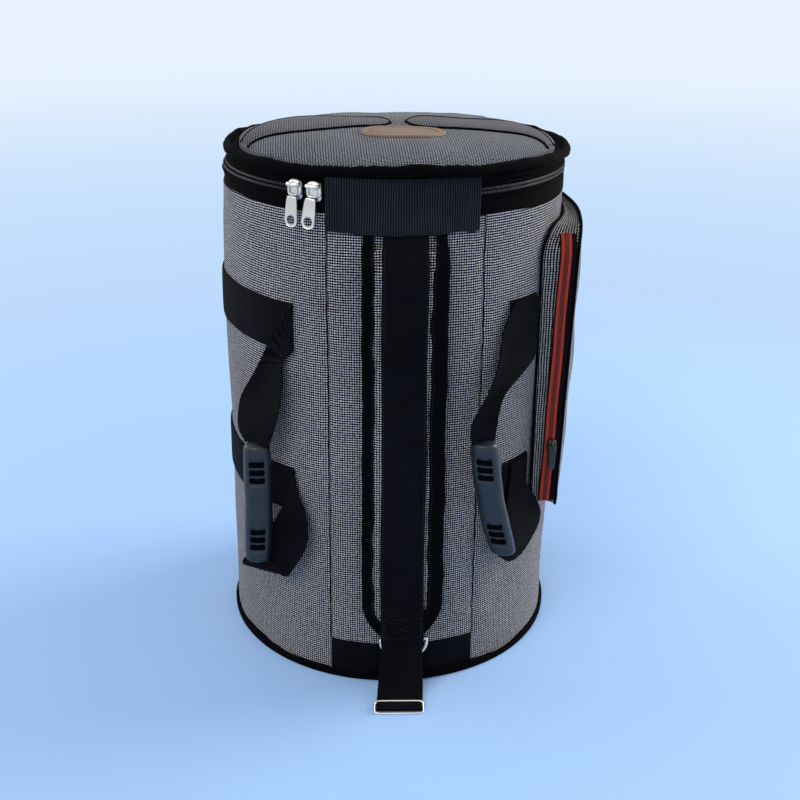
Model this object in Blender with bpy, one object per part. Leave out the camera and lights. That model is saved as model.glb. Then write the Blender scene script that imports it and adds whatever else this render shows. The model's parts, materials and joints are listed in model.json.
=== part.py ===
"""A padded round bag for a goblet drum, standing upright with its lid closed.

The bag's axis is Z, its front (with the shoulder strap) faces -Y, its pocket is on +X, and z = 0 is
the floor. An angle round the bag is measured from the front towards +X.
"""

from math import cos, pi, radians, sin, sqrt

import bmesh
import bpy
import numpy as np

# The body: a slightly tapered tube, a little flatter at the top of its front
BASE_RADIUS = 0.1454
TOP_RADIUS = 0.1425
ZIP_HEIGHT = 0.4206
FRONT_FLATNESS = 0.0020
FRONT_FLAT_ANGLE = radians(25.0)
COLUMN_STEP = radians(7.5)

# Thicknesses and the clearance between touching layers
GAP = 0.0003
FABRIC = 0.0016
WALL_FOAM = 0.0085
LINING = 0.0008
WEBBING = 0.0018
BASE_FOAM = 0.0060
BASE_BOARD = 0.0020

# Panels of the body's outside
LEFT_SEAM_ANGLE = radians(-24.0)
RIGHT_SEAM_ANGLE = radians(25.5)
KICK_HEIGHT = 0.0370
BODY_BAND_DROP = 0.0156
BODY_BAND_HEIGHT = 0.0080
BINDING_HEIGHT = 0.0060
BINDING_THICKNESS = 0.0026

# The main zip runs round the bag from one side of the hinge panel to the other
HINGE_LEFT_ANGLE = radians(-24.0)
HINGE_RIGHT_ANGLE = radians(23.0)
HINGE_PANEL_DROP = 0.0289
ZIP_TAPE_HEIGHT = 0.0070
TEETH_HEIGHT = 0.0028
TEETH_THICKNESS = 0.0016
FOAM_RIM_DROP = 0.0028

# The lid: a shallow padded dome over a short skirt, and a fat piping that is its hinge line at the front
PIPING_RADIUS = 0.0034
PIPING_OUTSET = 0.0012
LID_BAND_HEIGHT = 0.0048
LID_SKIRT = 0.0052
LID_CROWN = 0.0115
LID_CROWN_POWER = 2.4
LID_LINING_RISE = 0.0045
DOME_RING_SHARES = (0.12, 0.4, 0.65, 0.85, 1.0)

# The two grey insets of the lid, and the bare leather badge
INSET_THICKNESS = 0.0010
INSET_TIP_GAP = 0.0110
INSET_RIM_MARGIN = 0.0225
INSET_TIP_WIDTH = 0.0380
INSET_RIM_WIDTH = 0.0780
INSET_CENTRE_Y = -0.0040
INSET_RIM_DRIFT = -0.0240
BADGE_LENGTH = 0.0690
BADGE_WIDTH = 0.0440
BADGE_THICKNESS = 0.0018
BADGE_X = 0.0030
BADGE_Y = -0.0680

# Zip sliders of the lid and their pull tabs
SLIDER_LENGTH = 0.0120
SLIDER_HEIGHT = 0.0150
SLIDER_THICKNESS = 0.0038
LEFT_SLIDER_ANGLE = radians(-33.2)
RIGHT_SLIDER_ANGLE = radians(-26.9)
PULL_LENGTH = 0.0320
PULL_WIDTH = 0.0105
PULL_THICKNESS = 0.0014
PULL_HOLE_RADIUS = 0.0034
PULL_AXIS_RISE = 0.0045

# Webbing bands stitched round the body, and the carry handles
BAND_WIDTH = 0.0400
UPPER_BAND_CENTRE = 0.3115
LOWER_BAND_CENTRE = 0.1710
LEFT_FOLD_ANGLE = radians(-36.4)
RIGHT_FOLD_ANGLE = radians(35.7)
GRIP_WIDTH = 0.0235
GRIP_DEPTH = 0.0180
GRIP_OUTSET = 0.0200
LEFT_GRIP_TOP = 0.2150
LEFT_GRIP_BOTTOM = 0.1050
LEFT_GRIP_TOP_ANGLE = radians(-44.6)
LEFT_GRIP_BOTTOM_ANGLE = radians(-46.0)
RIGHT_GRIP_TOP = 0.2275
RIGHT_GRIP_BOTTOM = 0.1190
RIGHT_GRIP_TOP_ANGLE = radians(22.5)
RIGHT_GRIP_BOTTOM_ANGLE = radians(31.4)
HANDLE_END_WIDTH = 0.0200
HANDLE_END_THICKNESS = 0.0060
HANDLE_FOLD_INSET = 0.0006
# Middle stations of the upper strap: shares of the way round, down and out to the grip, of the band's
# width and of the webbing's thickness, which is doubled where the edges fold together
UPPER_STRAP_SHARES = ((0.45, 0.28, 0.16, 0.75, 1.0), (0.85, 0.68, 0.64, 0.62, 2.0))
UPPER_STRAP_TURNS = (radians(140), radians(105))
LOWER_STRAP_SPREAD_SHARE = 1.15
LOWER_STRAP_DROP_SHARE = 0.6
LOWER_STRAP_OUTSET_SHARES = (1.4, 1.9)
HANDLE_HOOK_SHARE = 0.7

# The shoulder strap down the front: padded upper part, webbing over it
PAD_LEFT_ANGLE = radians(-12.1)
PAD_RIGHT_ANGLE = radians(12.4)
PAD_STANDOFF = 0.0024
PAD_THICKNESS = 0.0062
PAD_BOTTOM = 0.0455
PAD_ROUND_HEIGHT = 0.0380
PAD_BINDING_THICKNESS = 0.0012
PAD_BINDING_WIDTH = 0.0100
STRAP_WIDTH = 0.0340
STRAP_OVERHANG = 0.0010

# Its ring on a chape, and the tail webbing that folds round the slide on the floor
CHAPE_WIDTH = 0.0340
CHAPE_HEIGHT = 0.0130
RING_WIRE_RADIUS = 0.0014
RING_WIDTH = 0.0392
RING_DEPTH = 0.0150
RING_TILT = radians(20.0)
RING_BAR_DROP = 0.0030
TAIL_WIDTH = 0.0380
TAIL_GAP = 0.0008
SLIDE_DISTANCE = 0.0411
SLIDE_WIDTH = 0.0440
SLIDE_DEPTH = 0.0120
SLIDE_THICKNESS = 0.0026
SLIDE_BAR = 0.0020

# The side pocket
POCKET_HALF_WIDTH = 0.0900
POCKET_BOTTOM = 0.1390
POCKET_TOP = 0.3810
POCKET_DEPTH = 0.0250
POCKET_BULGE = 0.0180
POCKET_TOP_CORNER = 0.0240
POCKET_BOTTOM_CORNER = 0.0100
POCKET_BINDING_RADIUS = 0.0020
POCKET_ZIP_WIDTH = 0.0100
POCKET_TAPE_THICKNESS = 0.0010
POCKET_TEETH_WIDTH = 0.0030
POCKET_TEETH_THICKNESS = 0.0012
POCKET_SLIDER_HEIGHT = 0.1950
POCKET_SLIDER_LENGTH = 0.0110
POCKET_SLIDER_WIDTH = 0.0080
POCKET_SLIDER_THICKNESS = 0.0030
POCKET_PULL_LENGTH = 0.0240
POCKET_PULL_WIDTH = 0.0060
POCKET_PULL_THICKNESS = 0.0014

# Colours of the finishes: red, green, blue, roughness, metallic
FINISHES = {
    "grey_tweed": (0.23, 0.22, 0.21, 0.9, 0.0),
    "black_webbing": (0.012, 0.012, 0.016, 0.8, 0.0),
    "black_binding": (0.010, 0.010, 0.013, 0.75, 0.0),
    "lining_cloth": (0.03, 0.03, 0.035, 0.9, 0.0),
    "foam": (0.35, 0.35, 0.36, 0.95, 0.0),
    "board": (0.05, 0.05, 0.05, 0.5, 0.0),
    "zip_tape": (0.012, 0.012, 0.014, 0.85, 0.0),
    "zip_coil": (0.04, 0.04, 0.045, 0.4, 0.0),
    "nickel": (0.78, 0.77, 0.75, 0.25, 1.0),
    "rubber": (0.035, 0.043, 0.055, 0.5, 0.0),
    "tan_leather": (0.36, 0.25, 0.15, 0.6, 0.0),
    "red_tape": (0.45, 0.06, 0.035, 0.7, 0.0),
    "red_coil": (0.16, 0.01, 0.01, 0.5, 0.0),
    "black_metal": (0.015, 0.015, 0.017, 0.4, 0.6),
}


def finish(name):
    """The named Principled material, made when it is first asked for."""
    material = bpy.data.materials.get(name)
    if material is None:
        red, green, blue, roughness, metallic = FINISHES[name]
        material = bpy.data.materials.new(name)
        material.use_nodes = True
        shader = material.node_tree.nodes["Principled BSDF"]
        shader.inputs["Base Color"].default_value = (red, green, blue, 1.0)
        shader.inputs["Roughness"].default_value = roughness
        shader.inputs["Metallic"].default_value = metallic
    return material


def add_solid(name, material, points, faces, pivot=(0.0, 0.0, 0.0)):
    """One closed body from points and faces, its origin at the pivot."""
    origin = np.asarray(pivot, float)
    mesh = bpy.data.meshes.new(name)
    mesh.from_pydata((np.asarray(points, float) - origin).tolist(), [], faces)
    shape = bmesh.new()
    shape.from_mesh(mesh)
    bmesh.ops.recalc_face_normals(shape, faces=shape.faces)
    shape.to_mesh(mesh)
    shape.free()
    mesh.materials.append(finish(material))
    mesh.shade_smooth()
    mesh.set_sharp_from_angle(angle=radians(35.0))
    piece = bpy.data.objects.new(name, mesh)
    piece.location = origin
    bpy.context.scene.collection.objects.link(piece)
    return piece


def grid_faces(rows, columns, wrap, start):
    """Quads of a grid of points numbered from start, row by row."""
    faces = []
    for row in range(rows - 1):
        for column in range(columns if wrap else columns - 1):
            beside = (column + 1) % columns
            low = start + row * columns
            high = low + columns
            faces.append((low + column, low + beside, high + beside, high + column))
    return faces


def solid_between(name, material, front, back, wrap=False, filled=False, pivot=(0.0, 0.0, 0.0)):
    """A closed body between two equal grids (rows, columns, 3).

    A wrapped grid's last column joins its first. A filled one has its first row closed by a flat
    face on each side, as at the middle of a disc.
    """
    rows, columns, _ = front.shape
    count = rows * columns
    faces = grid_faces(rows, columns, wrap, 0) + grid_faces(rows, columns, wrap, count)
    edge_rows = (rows - 1,) if filled else (0, rows - 1)
    for row in edge_rows:
        for column in range(columns if wrap else columns - 1):
            near = row * columns + column
            beside = row * columns + (column + 1) % columns
            faces.append((near, beside, beside + count, near + count))
    if not wrap:
        for column in (0, columns - 1):
            for row in range(rows - 1):
                near = row * columns + column
                faces.append((near, near + columns, near + columns + count, near + count))
    if filled:
        faces.append(tuple(range(columns)))
        faces.append(tuple(range(count, count + columns)))
    points = np.concatenate([front.reshape(-1, 3), back.reshape(-1, 3)])
    return add_solid(name, material, points, faces, pivot)


def loft(name, material, sections, pivot=(0.0, 0.0, 0.0), closed=False):
    """A closed body through equal outlines (stations, points, 3), its ends filled or joined."""
    outlines = np.asarray(sections, float)
    stations, sides, _ = outlines.shape
    faces = grid_faces(stations, sides, True, 0)
    if closed:
        last = (stations - 1) * sides
        for side in range(sides):
            beside = (side + 1) % sides
            faces.append((last + side, last + beside, beside, side))
    else:
        faces.append(tuple(range(sides)))
        faces.append(tuple(range((stations - 1) * sides, stations * sides)))
    return add_solid(name, material, outlines.reshape(-1, 3), faces, pivot)


def wall_radius(angle, height):
    """Radius of the wall's outer face: a straight taper less the flat of the front."""
    share = height / ZIP_HEIGHT
    turned = (np.asarray(angle) + pi) % (2 * pi) - pi
    flat = FRONT_FLATNESS * share * np.maximum(0.0, 1.0 - (turned / FRONT_FLAT_ANGLE) ** 2)
    return BASE_RADIUS + (TOP_RADIUS - BASE_RADIUS) * share - flat


def on_wall(angle, height, outset):
    """The point that stands outset metres off the wall's outer face."""
    radius = wall_radius(angle, height) + outset
    x = radius * np.sin(angle)
    y = -radius * np.cos(angle)
    return np.stack(np.broadcast_arrays(x, y, height), axis=-1)


def columns_between(left, right, step=COLUMN_STEP):
    """Angles from left to right through the multiples of the step that all layers share."""
    inner = np.arange(np.ceil(left / step + 0.05), np.floor(right / step - 0.05) + 1) * step
    return np.concatenate([[left], inner, [right]])


def all_columns():
    return np.arange(round(2 * pi / COLUMN_STEP)) * COLUMN_STEP


def wall_layer(name, material, bottom, top, inner, outer, angles=None, pivot=(0.0, 0.0, 0.0)):
    """A layer of the wall between two outsets and two heights; bottom may follow the angle."""
    wrap = angles is None
    turns = all_columns() if wrap else np.asarray(angles)
    low = np.broadcast_to(bottom, turns.shape)
    high = np.broadcast_to(top, turns.shape)
    front = np.stack([on_wall(turns, low, outer), on_wall(turns, high, outer)])
    back = np.stack([on_wall(turns, low, inner), on_wall(turns, high, inner)])
    return solid_between(name, material, front, back, wrap=wrap, pivot=pivot)


def disc(name, material, bottom, top, outset):
    """A flat round layer inside the wall."""
    turns = all_columns()
    low = on_wall(turns, bottom, outset)
    high = low + np.array([0.0, 0.0, top - bottom])
    return loft(name, material, [low, high])


def tangent(angle):
    return np.array([cos(angle), sin(angle), 0.0])


def outward(angle):
    return np.array([sin(angle), -cos(angle), 0.0])


UP = np.array([0.0, 0.0, 1.0])
FOLD_OUTSET = 2 * GAP + WEBBING
FOAM_OUTER = -FABRIC - GAP
FOAM_INNER = FOAM_OUTER - WALL_FOAM
LINING_OUTER = FOAM_INNER - GAP
LINING_INNER = LINING_OUTER - LINING
WALL_BOTTOM = FABRIC + GAP
BODY_BAND_BOTTOM = ZIP_HEIGHT - BODY_BAND_DROP
BODY_BAND_TOP = BODY_BAND_BOTTOM + BODY_BAND_HEIGHT
HINGE_PANEL_BOTTOM = ZIP_HEIGHT - HINGE_PANEL_DROP
BODY_TAPE_BOTTOM = BODY_BAND_TOP + GAP
BODY_TAPE_TOP = ZIP_HEIGHT - GAP / 2
LID_TAPE_BOTTOM = ZIP_HEIGHT + GAP / 2
LID_TAPE_TOP = LID_TAPE_BOTTOM + ZIP_TAPE_HEIGHT - TEETH_THICKNESS / 2
LID_BAND_BOTTOM = LID_TAPE_TOP + GAP
LID_BAND_TOP = LID_BAND_BOTTOM + LID_BAND_HEIGHT
PIPING_CENTRE = LID_BAND_TOP + GAP + PIPING_RADIUS
LID_TOP = PIPING_CENTRE + LID_SKIRT + LID_CROWN
LID_LINING_BOTTOM = ZIP_HEIGHT + LID_LINING_RISE
HINGE_AXIS = np.array([0.0, -(TOP_RADIUS + PIPING_OUTSET), PIPING_CENTRE])
ZIP_ANGLES = columns_between(HINGE_RIGHT_ANGLE, 2 * pi + HINGE_LEFT_ANGLE)


def make_base():
    """Outer panel, foam, stiff board and lining of the bottom, and the binding round its edge."""
    disc("base_panel", "black_webbing", 0.0, FABRIC, 0.0)
    inside = LINING_INNER - GAP
    level = FABRIC + GAP
    layers = (("base_foam", "foam", BASE_FOAM), ("base_board", "board", BASE_BOARD),
              ("base_lining", "lining_cloth", LINING))
    for name, material, thickness in layers:
        disc(name, material, level, level + thickness, inside)
        level += thickness + GAP
    wall_layer("base_binding", "black_binding", 0.0, BINDING_HEIGHT, GAP, GAP + BINDING_THICKNESS)


def make_wall():
    """The sewn outside, the foam behind it and the lining inside."""
    foam_top = ZIP_HEIGHT - FOAM_RIM_DROP
    side_angles = columns_between(RIGHT_SEAM_ANGLE, 2 * pi + LEFT_SEAM_ANGLE)
    front_angles = columns_between(LEFT_SEAM_ANGLE + GAP / BASE_RADIUS * 2,
                                   RIGHT_SEAM_ANGLE - GAP / BASE_RADIUS * 2)
    cloth_top = BODY_BAND_BOTTOM - GAP
    wall_layer("side_wall", "grey_tweed", WALL_BOTTOM, cloth_top, -FABRIC, 0.0, side_angles)
    wall_layer("front_panel", "grey_tweed", KICK_HEIGHT, cloth_top, -FABRIC, 0.0, front_angles)
    wall_layer("kick_panel", "black_webbing", WALL_BOTTOM, KICK_HEIGHT - GAP, -FABRIC, 0.0, front_angles)
    wall_layer("body_band", "black_webbing", BODY_BAND_BOTTOM, BODY_BAND_TOP, -FABRIC, 0.0)
    wall_layer("wall_padding", "foam", WALL_BOTTOM, foam_top, FOAM_INNER, FOAM_OUTER)
    wall_layer("inner_lining", "lining_cloth", WALL_BOTTOM, foam_top, LINING_INNER, LINING_OUTER)


def make_main_zip():
    """Tapes and coils of both halves; the hinge panel closes the rest of the circle."""
    coil_outer = GAP + TEETH_THICKNESS
    wall_layer("body_zip_tape", "zip_tape", BODY_TAPE_BOTTOM, BODY_TAPE_TOP, -FABRIC, 0.0, ZIP_ANGLES)
    wall_layer("body_zip_teeth", "zip_coil", BODY_TAPE_TOP - TEETH_HEIGHT, BODY_TAPE_TOP, GAP,
               coil_outer, ZIP_ANGLES)
    wall_layer("lid_zip_tape", "zip_tape", LID_TAPE_BOTTOM, LID_TAPE_TOP, -FABRIC, 0.0, ZIP_ANGLES,
               HINGE_AXIS)
    wall_layer("lid_zip_teeth", "zip_coil", LID_TAPE_BOTTOM, LID_TAPE_BOTTOM + TEETH_HEIGHT, GAP,
               coil_outer, ZIP_ANGLES, HINGE_AXIS)
    angles = columns_between(HINGE_LEFT_ANGLE, HINGE_RIGHT_ANGLE)
    wall_layer("hinge_panel", "black_webbing", HINGE_PANEL_BOTTOM, LID_BAND_TOP, GAP, GAP + WEBBING,
               angles)


def dome_height(share):
    """Height of the lid's outer face at a share of its radius."""
    return LID_TOP - LID_CROWN * share ** LID_CROWN_POWER


def dome_radius():
    return TOP_RADIUS + PIPING_OUTSET - PIPING_RADIUS - GAP


def dome_grid(drop, inset, rim_height):
    """Rings of the lid's face, lowered by drop and drawn in by inset, then down to the rim's height."""
    turns = all_columns()
    reach = dome_radius() - inset
    rings = [(reach * share, dome_height(share) - drop) for share in DOME_RING_SHARES]
    rings.append((reach, rim_height))
    return np.stack([np.stack([radius * np.sin(turns), -radius * np.cos(turns),
                               np.full(turns.shape, height)], axis=-1) for radius, height in rings])


def make_lid():
    """Domed cover, padding, lining, edge band and the fat piping round the rim."""
    solid_between("lid_cover", "grey_tweed", dome_grid(0.0, 0.0, PIPING_CENTRE),
                  dome_grid(FABRIC, FABRIC, PIPING_CENTRE), wrap=True, filled=True, pivot=HINGE_AXIS)
    inset = FABRIC + 2 * GAP + FRONT_FLATNESS
    foam_bottom = LID_LINING_BOTTOM + LINING + GAP
    foam_top = dome_grid(FABRIC + GAP, inset, foam_bottom + WALL_FOAM / 2)
    foam_low = foam_top.copy()
    foam_low[:, :, 2] = foam_bottom
    solid_between("lid_padding", "foam", foam_top, foam_low, wrap=True, filled=True, pivot=HINGE_AXIS)
    lining_low = foam_low[-1].copy()
    lining_low[:, 2] = LID_LINING_BOTTOM
    loft("lid_lining", "lining_cloth", [lining_low, lining_low + UP * LINING], HINGE_AXIS)
    wall_layer("lid_band", "black_webbing", LID_BAND_BOTTOM, LID_BAND_TOP, -FABRIC, 0.0,
               pivot=HINGE_AXIS)
    make_piping()
    make_insets()
    make_badge()


def make_piping():
    """A round cord covered in binding, all round the rim of the lid."""
    sections = []
    for turn in all_columns():
        centre = outward(turn) * (TOP_RADIUS + PIPING_OUTSET) + UP * PIPING_CENTRE
        rim = []
        for side in np.arange(8) * pi / 4:
            rim.append(centre + PIPING_RADIUS * (outward(turn) * cos(side) + UP * sin(side)))
        sections.append(rim)
    loft("lid_piping", "black_binding", sections, HINGE_AXIS, closed=True)


def on_dome(x, y, rise):
    share = np.sqrt(x * x + y * y) / dome_radius()
    return np.stack([x, y, dome_height(share) + rise], axis=-1)


def make_insets():
    """Two tongue-shaped panels that run from the rim towards the middle of the lid."""
    for side, name in ((-1, "lid_left_inset"), (1, "lid_right_inset")):
        reach = np.linspace(0.0, 1.0, 9)
        length = dome_radius() - INSET_RIM_MARGIN - INSET_TIP_GAP / 2
        distance = INSET_TIP_GAP / 2 + length * reach
        round_tip = np.sqrt(1.0 - (1.0 - np.minimum(1.0, reach * 6 + 0.05)) ** 2)
        width = (INSET_TIP_WIDTH + (INSET_RIM_WIDTH - INSET_TIP_WIDTH) * reach ** 2) * round_tip
        middle = INSET_CENTRE_Y + INSET_RIM_DRIFT * reach
        across = np.linspace(-0.5, 0.5, 5)[:, None]
        x = side * np.broadcast_to(distance, (5, 9))
        y = middle + across * width
        front = on_dome(x, y, GAP + INSET_THICKNESS)
        back = on_dome(x, y, GAP)
        solid_between(name, "grey_tweed", front, back, pivot=HINGE_AXIS)


def make_badge():
    """A bare oval leather patch near the front of the lid."""
    turns = np.arange(20) * pi / 10
    rings = []
    for share in (0.3, 0.7, 1.0):
        x = BADGE_X + BADGE_LENGTH / 2 * share * np.cos(turns)
        y = BADGE_Y + BADGE_WIDTH / 2 * share * np.sin(turns)
        rings.append((x, y))
    x = np.stack([ring[0] for ring in rings])
    y = np.stack([ring[1] for ring in rings])
    front = on_dome(x, y, GAP + BADGE_THICKNESS)
    back = on_dome(x, y, GAP)
    solid_between("lid_badge", "tan_leather", front, back, wrap=True, filled=True, pivot=HINGE_AXIS)


def block(name, material, centre, across, along, out, pivot):
    """A box with its corners cut, from its centre and three half-extent vectors."""
    sections = []
    for share, shrink in ((-1.0, 0.8), (-0.7, 1.0), (0.7, 1.0), (1.0, 0.8)):
        rim = []
        for u, v in ((-1, -0.6), (-0.6, -1), (0.6, -1), (1, -0.6), (1, 0.6), (0.6, 1), (-0.6, 1), (-1, 0.6)):
            rim.append(centre + along * share + across * u * shrink + out * v)
        sections.append(rim)
    return loft(name, material, sections, pivot)


def tab(name, material, top, across, down, out, width, length, thickness, hole, pivot):
    """A pull tab: a flat strap with rounded lower end and a round hole near it."""
    turns = np.arange(24) * pi / 12
    half = width / 2
    centre = top + down * (length - half)
    limit = length - half
    rounded = []
    for turn in turns:
        sideways = np.clip(half * 1.45 * cos(turn), -half, half)
        lengthways = half * sin(turn)
        if sin(turn) < -0.01:
            sideways = half * np.clip(cos(turn) * 2.2, -0.8, 0.8)
            lengthways = max(-limit, -limit * min(1.0, abs(sin(turn)) * 2.2))
        rounded.append(centre + across * sideways + down * lengthways)
    inner = [centre + hole * (across * cos(turn) + down * sin(turn)) for turn in turns]
    lift = out * thickness
    front = np.stack([np.asarray(inner) + lift, np.asarray(rounded) + lift])
    back = np.stack([np.asarray(inner), np.asarray(rounded)])
    return solid_between(name, material, front, back, wrap=True, pivot=pivot)


def make_sliders():
    """The two sliders of the lid's zip, side by side at the left end of the hinge panel."""
    standoff = 2 * GAP + TEETH_THICKNESS
    for name, angle in (("left", LEFT_SLIDER_ANGLE), ("right", RIGHT_SLIDER_ANGLE)):
        across = tangent(angle)
        out = outward(angle)
        centre = on_wall(angle, ZIP_HEIGHT, standoff + SLIDER_THICKNESS / 2)
        axle = centre + UP * PULL_AXIS_RISE + out * (SLIDER_THICKNESS / 2 + GAP + PULL_THICKNESS / 2)
        block(name + "_slider", "nickel", centre, across * SLIDER_LENGTH / 2, UP * SLIDER_HEIGHT / 2,
              out * SLIDER_THICKNESS / 2, (0.0, 0.0, ZIP_HEIGHT))
        tab(name + "_pull", "nickel", axle - out * PULL_THICKNESS / 2, across, -UP, out, PULL_WIDTH,
            PULL_LENGTH, PULL_THICKNESS, PULL_HOLE_RADIUS, axle)


def make_bands():
    """Four lengths of webbing stitched flat round the body, up to the folds of the handles."""
    pocket_angle = np.arcsin(sqrt(1.0 - (POCKET_HALF_WIDTH / BASE_RADIUS) ** 2))
    margin = 4 * WEBBING / BASE_RADIUS
    front_end = pocket_angle - margin
    back_end = pi - pocket_angle + margin
    spans = (("left", columns_between(back_end, 2 * pi + LEFT_FOLD_ANGLE)),
             ("right", columns_between(RIGHT_FOLD_ANGLE, front_end)))
    for level, centre in (("upper", UPPER_BAND_CENTRE), ("lower", LOWER_BAND_CENTRE)):
        for side, angles in spans:
            wall_layer(level + "_band_" + side, "black_webbing", centre - BAND_WIDTH / 2,
                       centre + BAND_WIDTH / 2, GAP, GAP + WEBBING, angles)


def ribbon(name, material, stations, pivot):
    """Webbing lofted through stations of centre, width direction, face direction, width, thickness."""
    sections = []
    for centre, across, face, width, thickness in stations:
        side = across / np.linalg.norm(across) * width / 2
        lift = face / np.linalg.norm(face) * thickness / 2
        sections.append([centre - side - lift, centre + side - lift, centre + side + lift,
                         centre - side + lift])
    return loft(name, material, sections, pivot)


def wall_ribbon(name, places, pivot):
    """A handle strap through (angle, height, outset, turn, width, thickness) near the wall.

    The turn is that of the strap's width from upright towards the tangent of the wall.
    """
    stations = []
    for angle, height, outset, turn, width, thickness in places:
        across = UP * cos(turn) + tangent(angle) * sin(turn)
        stations.append((on_wall(angle, height, outset), across, outward(angle), width, thickness))
    return ribbon(name, "black_webbing", stations, pivot)


def make_grip(name, top_angle, top, bottom_angle, bottom, pivot):
    """A moulded tube grip, thicker in the middle, with rounded ends."""
    upper = on_wall(top_angle, top, GRIP_OUTSET)
    lower = on_wall(bottom_angle, bottom, GRIP_OUTSET)
    middle = (top_angle + bottom_angle) / 2
    across = tangent(middle)
    out = outward(middle)
    sections = []
    for share, size in ((0.0, 0.72), (0.03, 0.92), (0.2, 0.96), (0.5, 1.0), (0.8, 0.96), (0.97, 0.92),
                        (1.0, 0.72)):
        centre = upper + (lower - upper) * share
        rim = []
        for turn in np.arange(10) * pi / 5:
            rim.append(centre + across * cos(turn) * GRIP_WIDTH / 2 * size
                       + out * sin(turn) * GRIP_DEPTH / 2 * size)
        sections.append(rim)
    loft(name, "rubber", sections, pivot)


def make_handle(side, fold_angle, grip_top_angle, grip_top, grip_bottom_angle, grip_bottom):
    """Two straps and a grip that turn about the upright line of the band ends' folds.

    The loop lies against the wall on the left of its fold, and no part of it reaches past the fold.
    It starts a little short of the fold, so that its thickness clears the band as it turns.
    """
    pivot = on_wall(fold_angle, LOWER_BAND_CENTRE, FOLD_OUTSET)
    start_angle = fold_angle - HANDLE_FOLD_INSET / BASE_RADIUS
    start = FOLD_OUTSET + WEBBING / 2
    reach = grip_top_angle - fold_angle
    drop = UPPER_BAND_CENTRE - grip_top
    places = [(start_angle, UPPER_BAND_CENTRE, start, pi, BAND_WIDTH, WEBBING)]
    for (round_share, down, out, wide, thick), turn in zip(UPPER_STRAP_SHARES, UPPER_STRAP_TURNS):
        places.append((fold_angle + reach * round_share, UPPER_BAND_CENTRE - drop * down,
                       start + (GRIP_OUTSET - start) * out, turn, BAND_WIDTH * wide, WEBBING * thick))
    places.append((grip_top_angle, grip_top + GAP, GRIP_OUTSET, radians(90), HANDLE_END_WIDTH,
                   HANDLE_END_THICKNESS))
    wall_ribbon(side + "_handle_upper_strap", places, pivot)
    inset = HANDLE_END_WIDTH / 2 / BASE_RADIUS * LOWER_STRAP_SPREAD_SHARE
    near, far = LOWER_STRAP_OUTSET_SHARES
    rise = LOWER_BAND_CENTRE - grip_bottom
    across = tangent(grip_bottom_angle)
    out = outward(grip_bottom_angle)
    tip = on_wall(grip_bottom_angle, grip_bottom - GAP, GRIP_OUTSET)
    under = (on_wall(grip_bottom_angle, grip_bottom - HANDLE_END_WIDTH / 2, GRIP_OUTSET * HANDLE_HOOK_SHARE),
             across, UP, HANDLE_END_WIDTH, WEBBING * 2)
    places = (
        (start_angle, LOWER_BAND_CENTRE, start, -UP, BAND_WIDTH),
        (fold_angle - inset, LOWER_BAND_CENTRE - rise * LOWER_STRAP_DROP_SHARE, start * near,
         tangent(fold_angle - inset) - UP / 2, HANDLE_END_WIDTH),
        ((fold_angle - inset + grip_bottom_angle) / 2, grip_bottom + HANDLE_END_WIDTH / 10, start * far,
         across, HANDLE_END_WIDTH),
    )
    stations = [(on_wall(angle, height, outset), width_way, outward(angle), width, WEBBING)
                for angle, height, outset, width_way, width in places]
    stations.append(under)
    stations.append((tip, across, -out, HANDLE_END_WIDTH, HANDLE_END_THICKNESS))
    ribbon(side + "_handle_lower_strap", "black_webbing", stations, pivot)
    make_grip(side + "_grip", grip_top_angle, grip_top, grip_bottom_angle, grip_bottom, pivot)


PAD_OUTER = PAD_STANDOFF + PAD_THICKNESS
PAD_TOP = HINGE_PANEL_BOTTOM - GAP
STRAP_END = PAD_BOTTOM - STRAP_OVERHANG
RING_BAR_HEIGHT = PAD_BOTTOM - RING_BAR_DROP


def pad_end(angles):
    """Lower edge of the pad: straight in the middle, an ellipse towards the sides."""
    middle = (PAD_LEFT_ANGLE + PAD_RIGHT_ANGLE) / 2
    half = (PAD_RIGHT_ANGLE - PAD_LEFT_ANGLE) / 2
    share = np.clip(np.abs(angles - middle) / half, 0.0, 0.999)
    return PAD_BOTTOM + PAD_ROUND_HEIGHT * (1.0 - np.sqrt(1.0 - share ** 2))


def make_strap():
    """Pad, its binding along both edges, and the webbing sewn down the middle."""
    angles = columns_between(PAD_LEFT_ANGLE, PAD_RIGHT_ANGLE, COLUMN_STEP / 4)
    wall_layer("shoulder_pad", "grey_tweed", pad_end(angles), PAD_TOP, PAD_STANDOFF, PAD_OUTER, angles)
    strip = PAD_BINDING_WIDTH / BASE_RADIUS
    edges = (("left", columns_between(PAD_LEFT_ANGLE, PAD_LEFT_ANGLE + strip, COLUMN_STEP / 4)),
             ("right", columns_between(PAD_RIGHT_ANGLE - strip, PAD_RIGHT_ANGLE, COLUMN_STEP / 4)))
    low = PAD_OUTER + GAP
    for side, columns in edges:
        wall_layer("pad_binding_" + side, "black_binding", pad_end(columns), PAD_TOP, low,
                   low + PAD_BINDING_THICKNESS, columns)
    half = STRAP_WIDTH / BASE_RADIUS / 2
    columns = columns_between(-half, half, COLUMN_STEP / 4)
    wall_layer("strap_webbing", "black_webbing", STRAP_END, PAD_TOP, low, low + WEBBING, columns)


RING_OUTSET = GAP + RING_WIRE_RADIUS
CHAPE_BOTTOM = RING_BAR_HEIGHT + RING_WIRE_RADIUS + GAP
RING_AXIS = on_wall(0.0, RING_BAR_HEIGHT, RING_OUTSET)
RING_DOWN = np.array([0.0, -sin(RING_TILT), -cos(RING_TILT)])
BOW_BOTTOM = RING_AXIS + RING_DOWN * RING_DEPTH
TAIL_TOP = on_wall(0.0, STRAP_END - TAIL_GAP, PAD_OUTER + GAP + WEBBING / 2)


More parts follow.
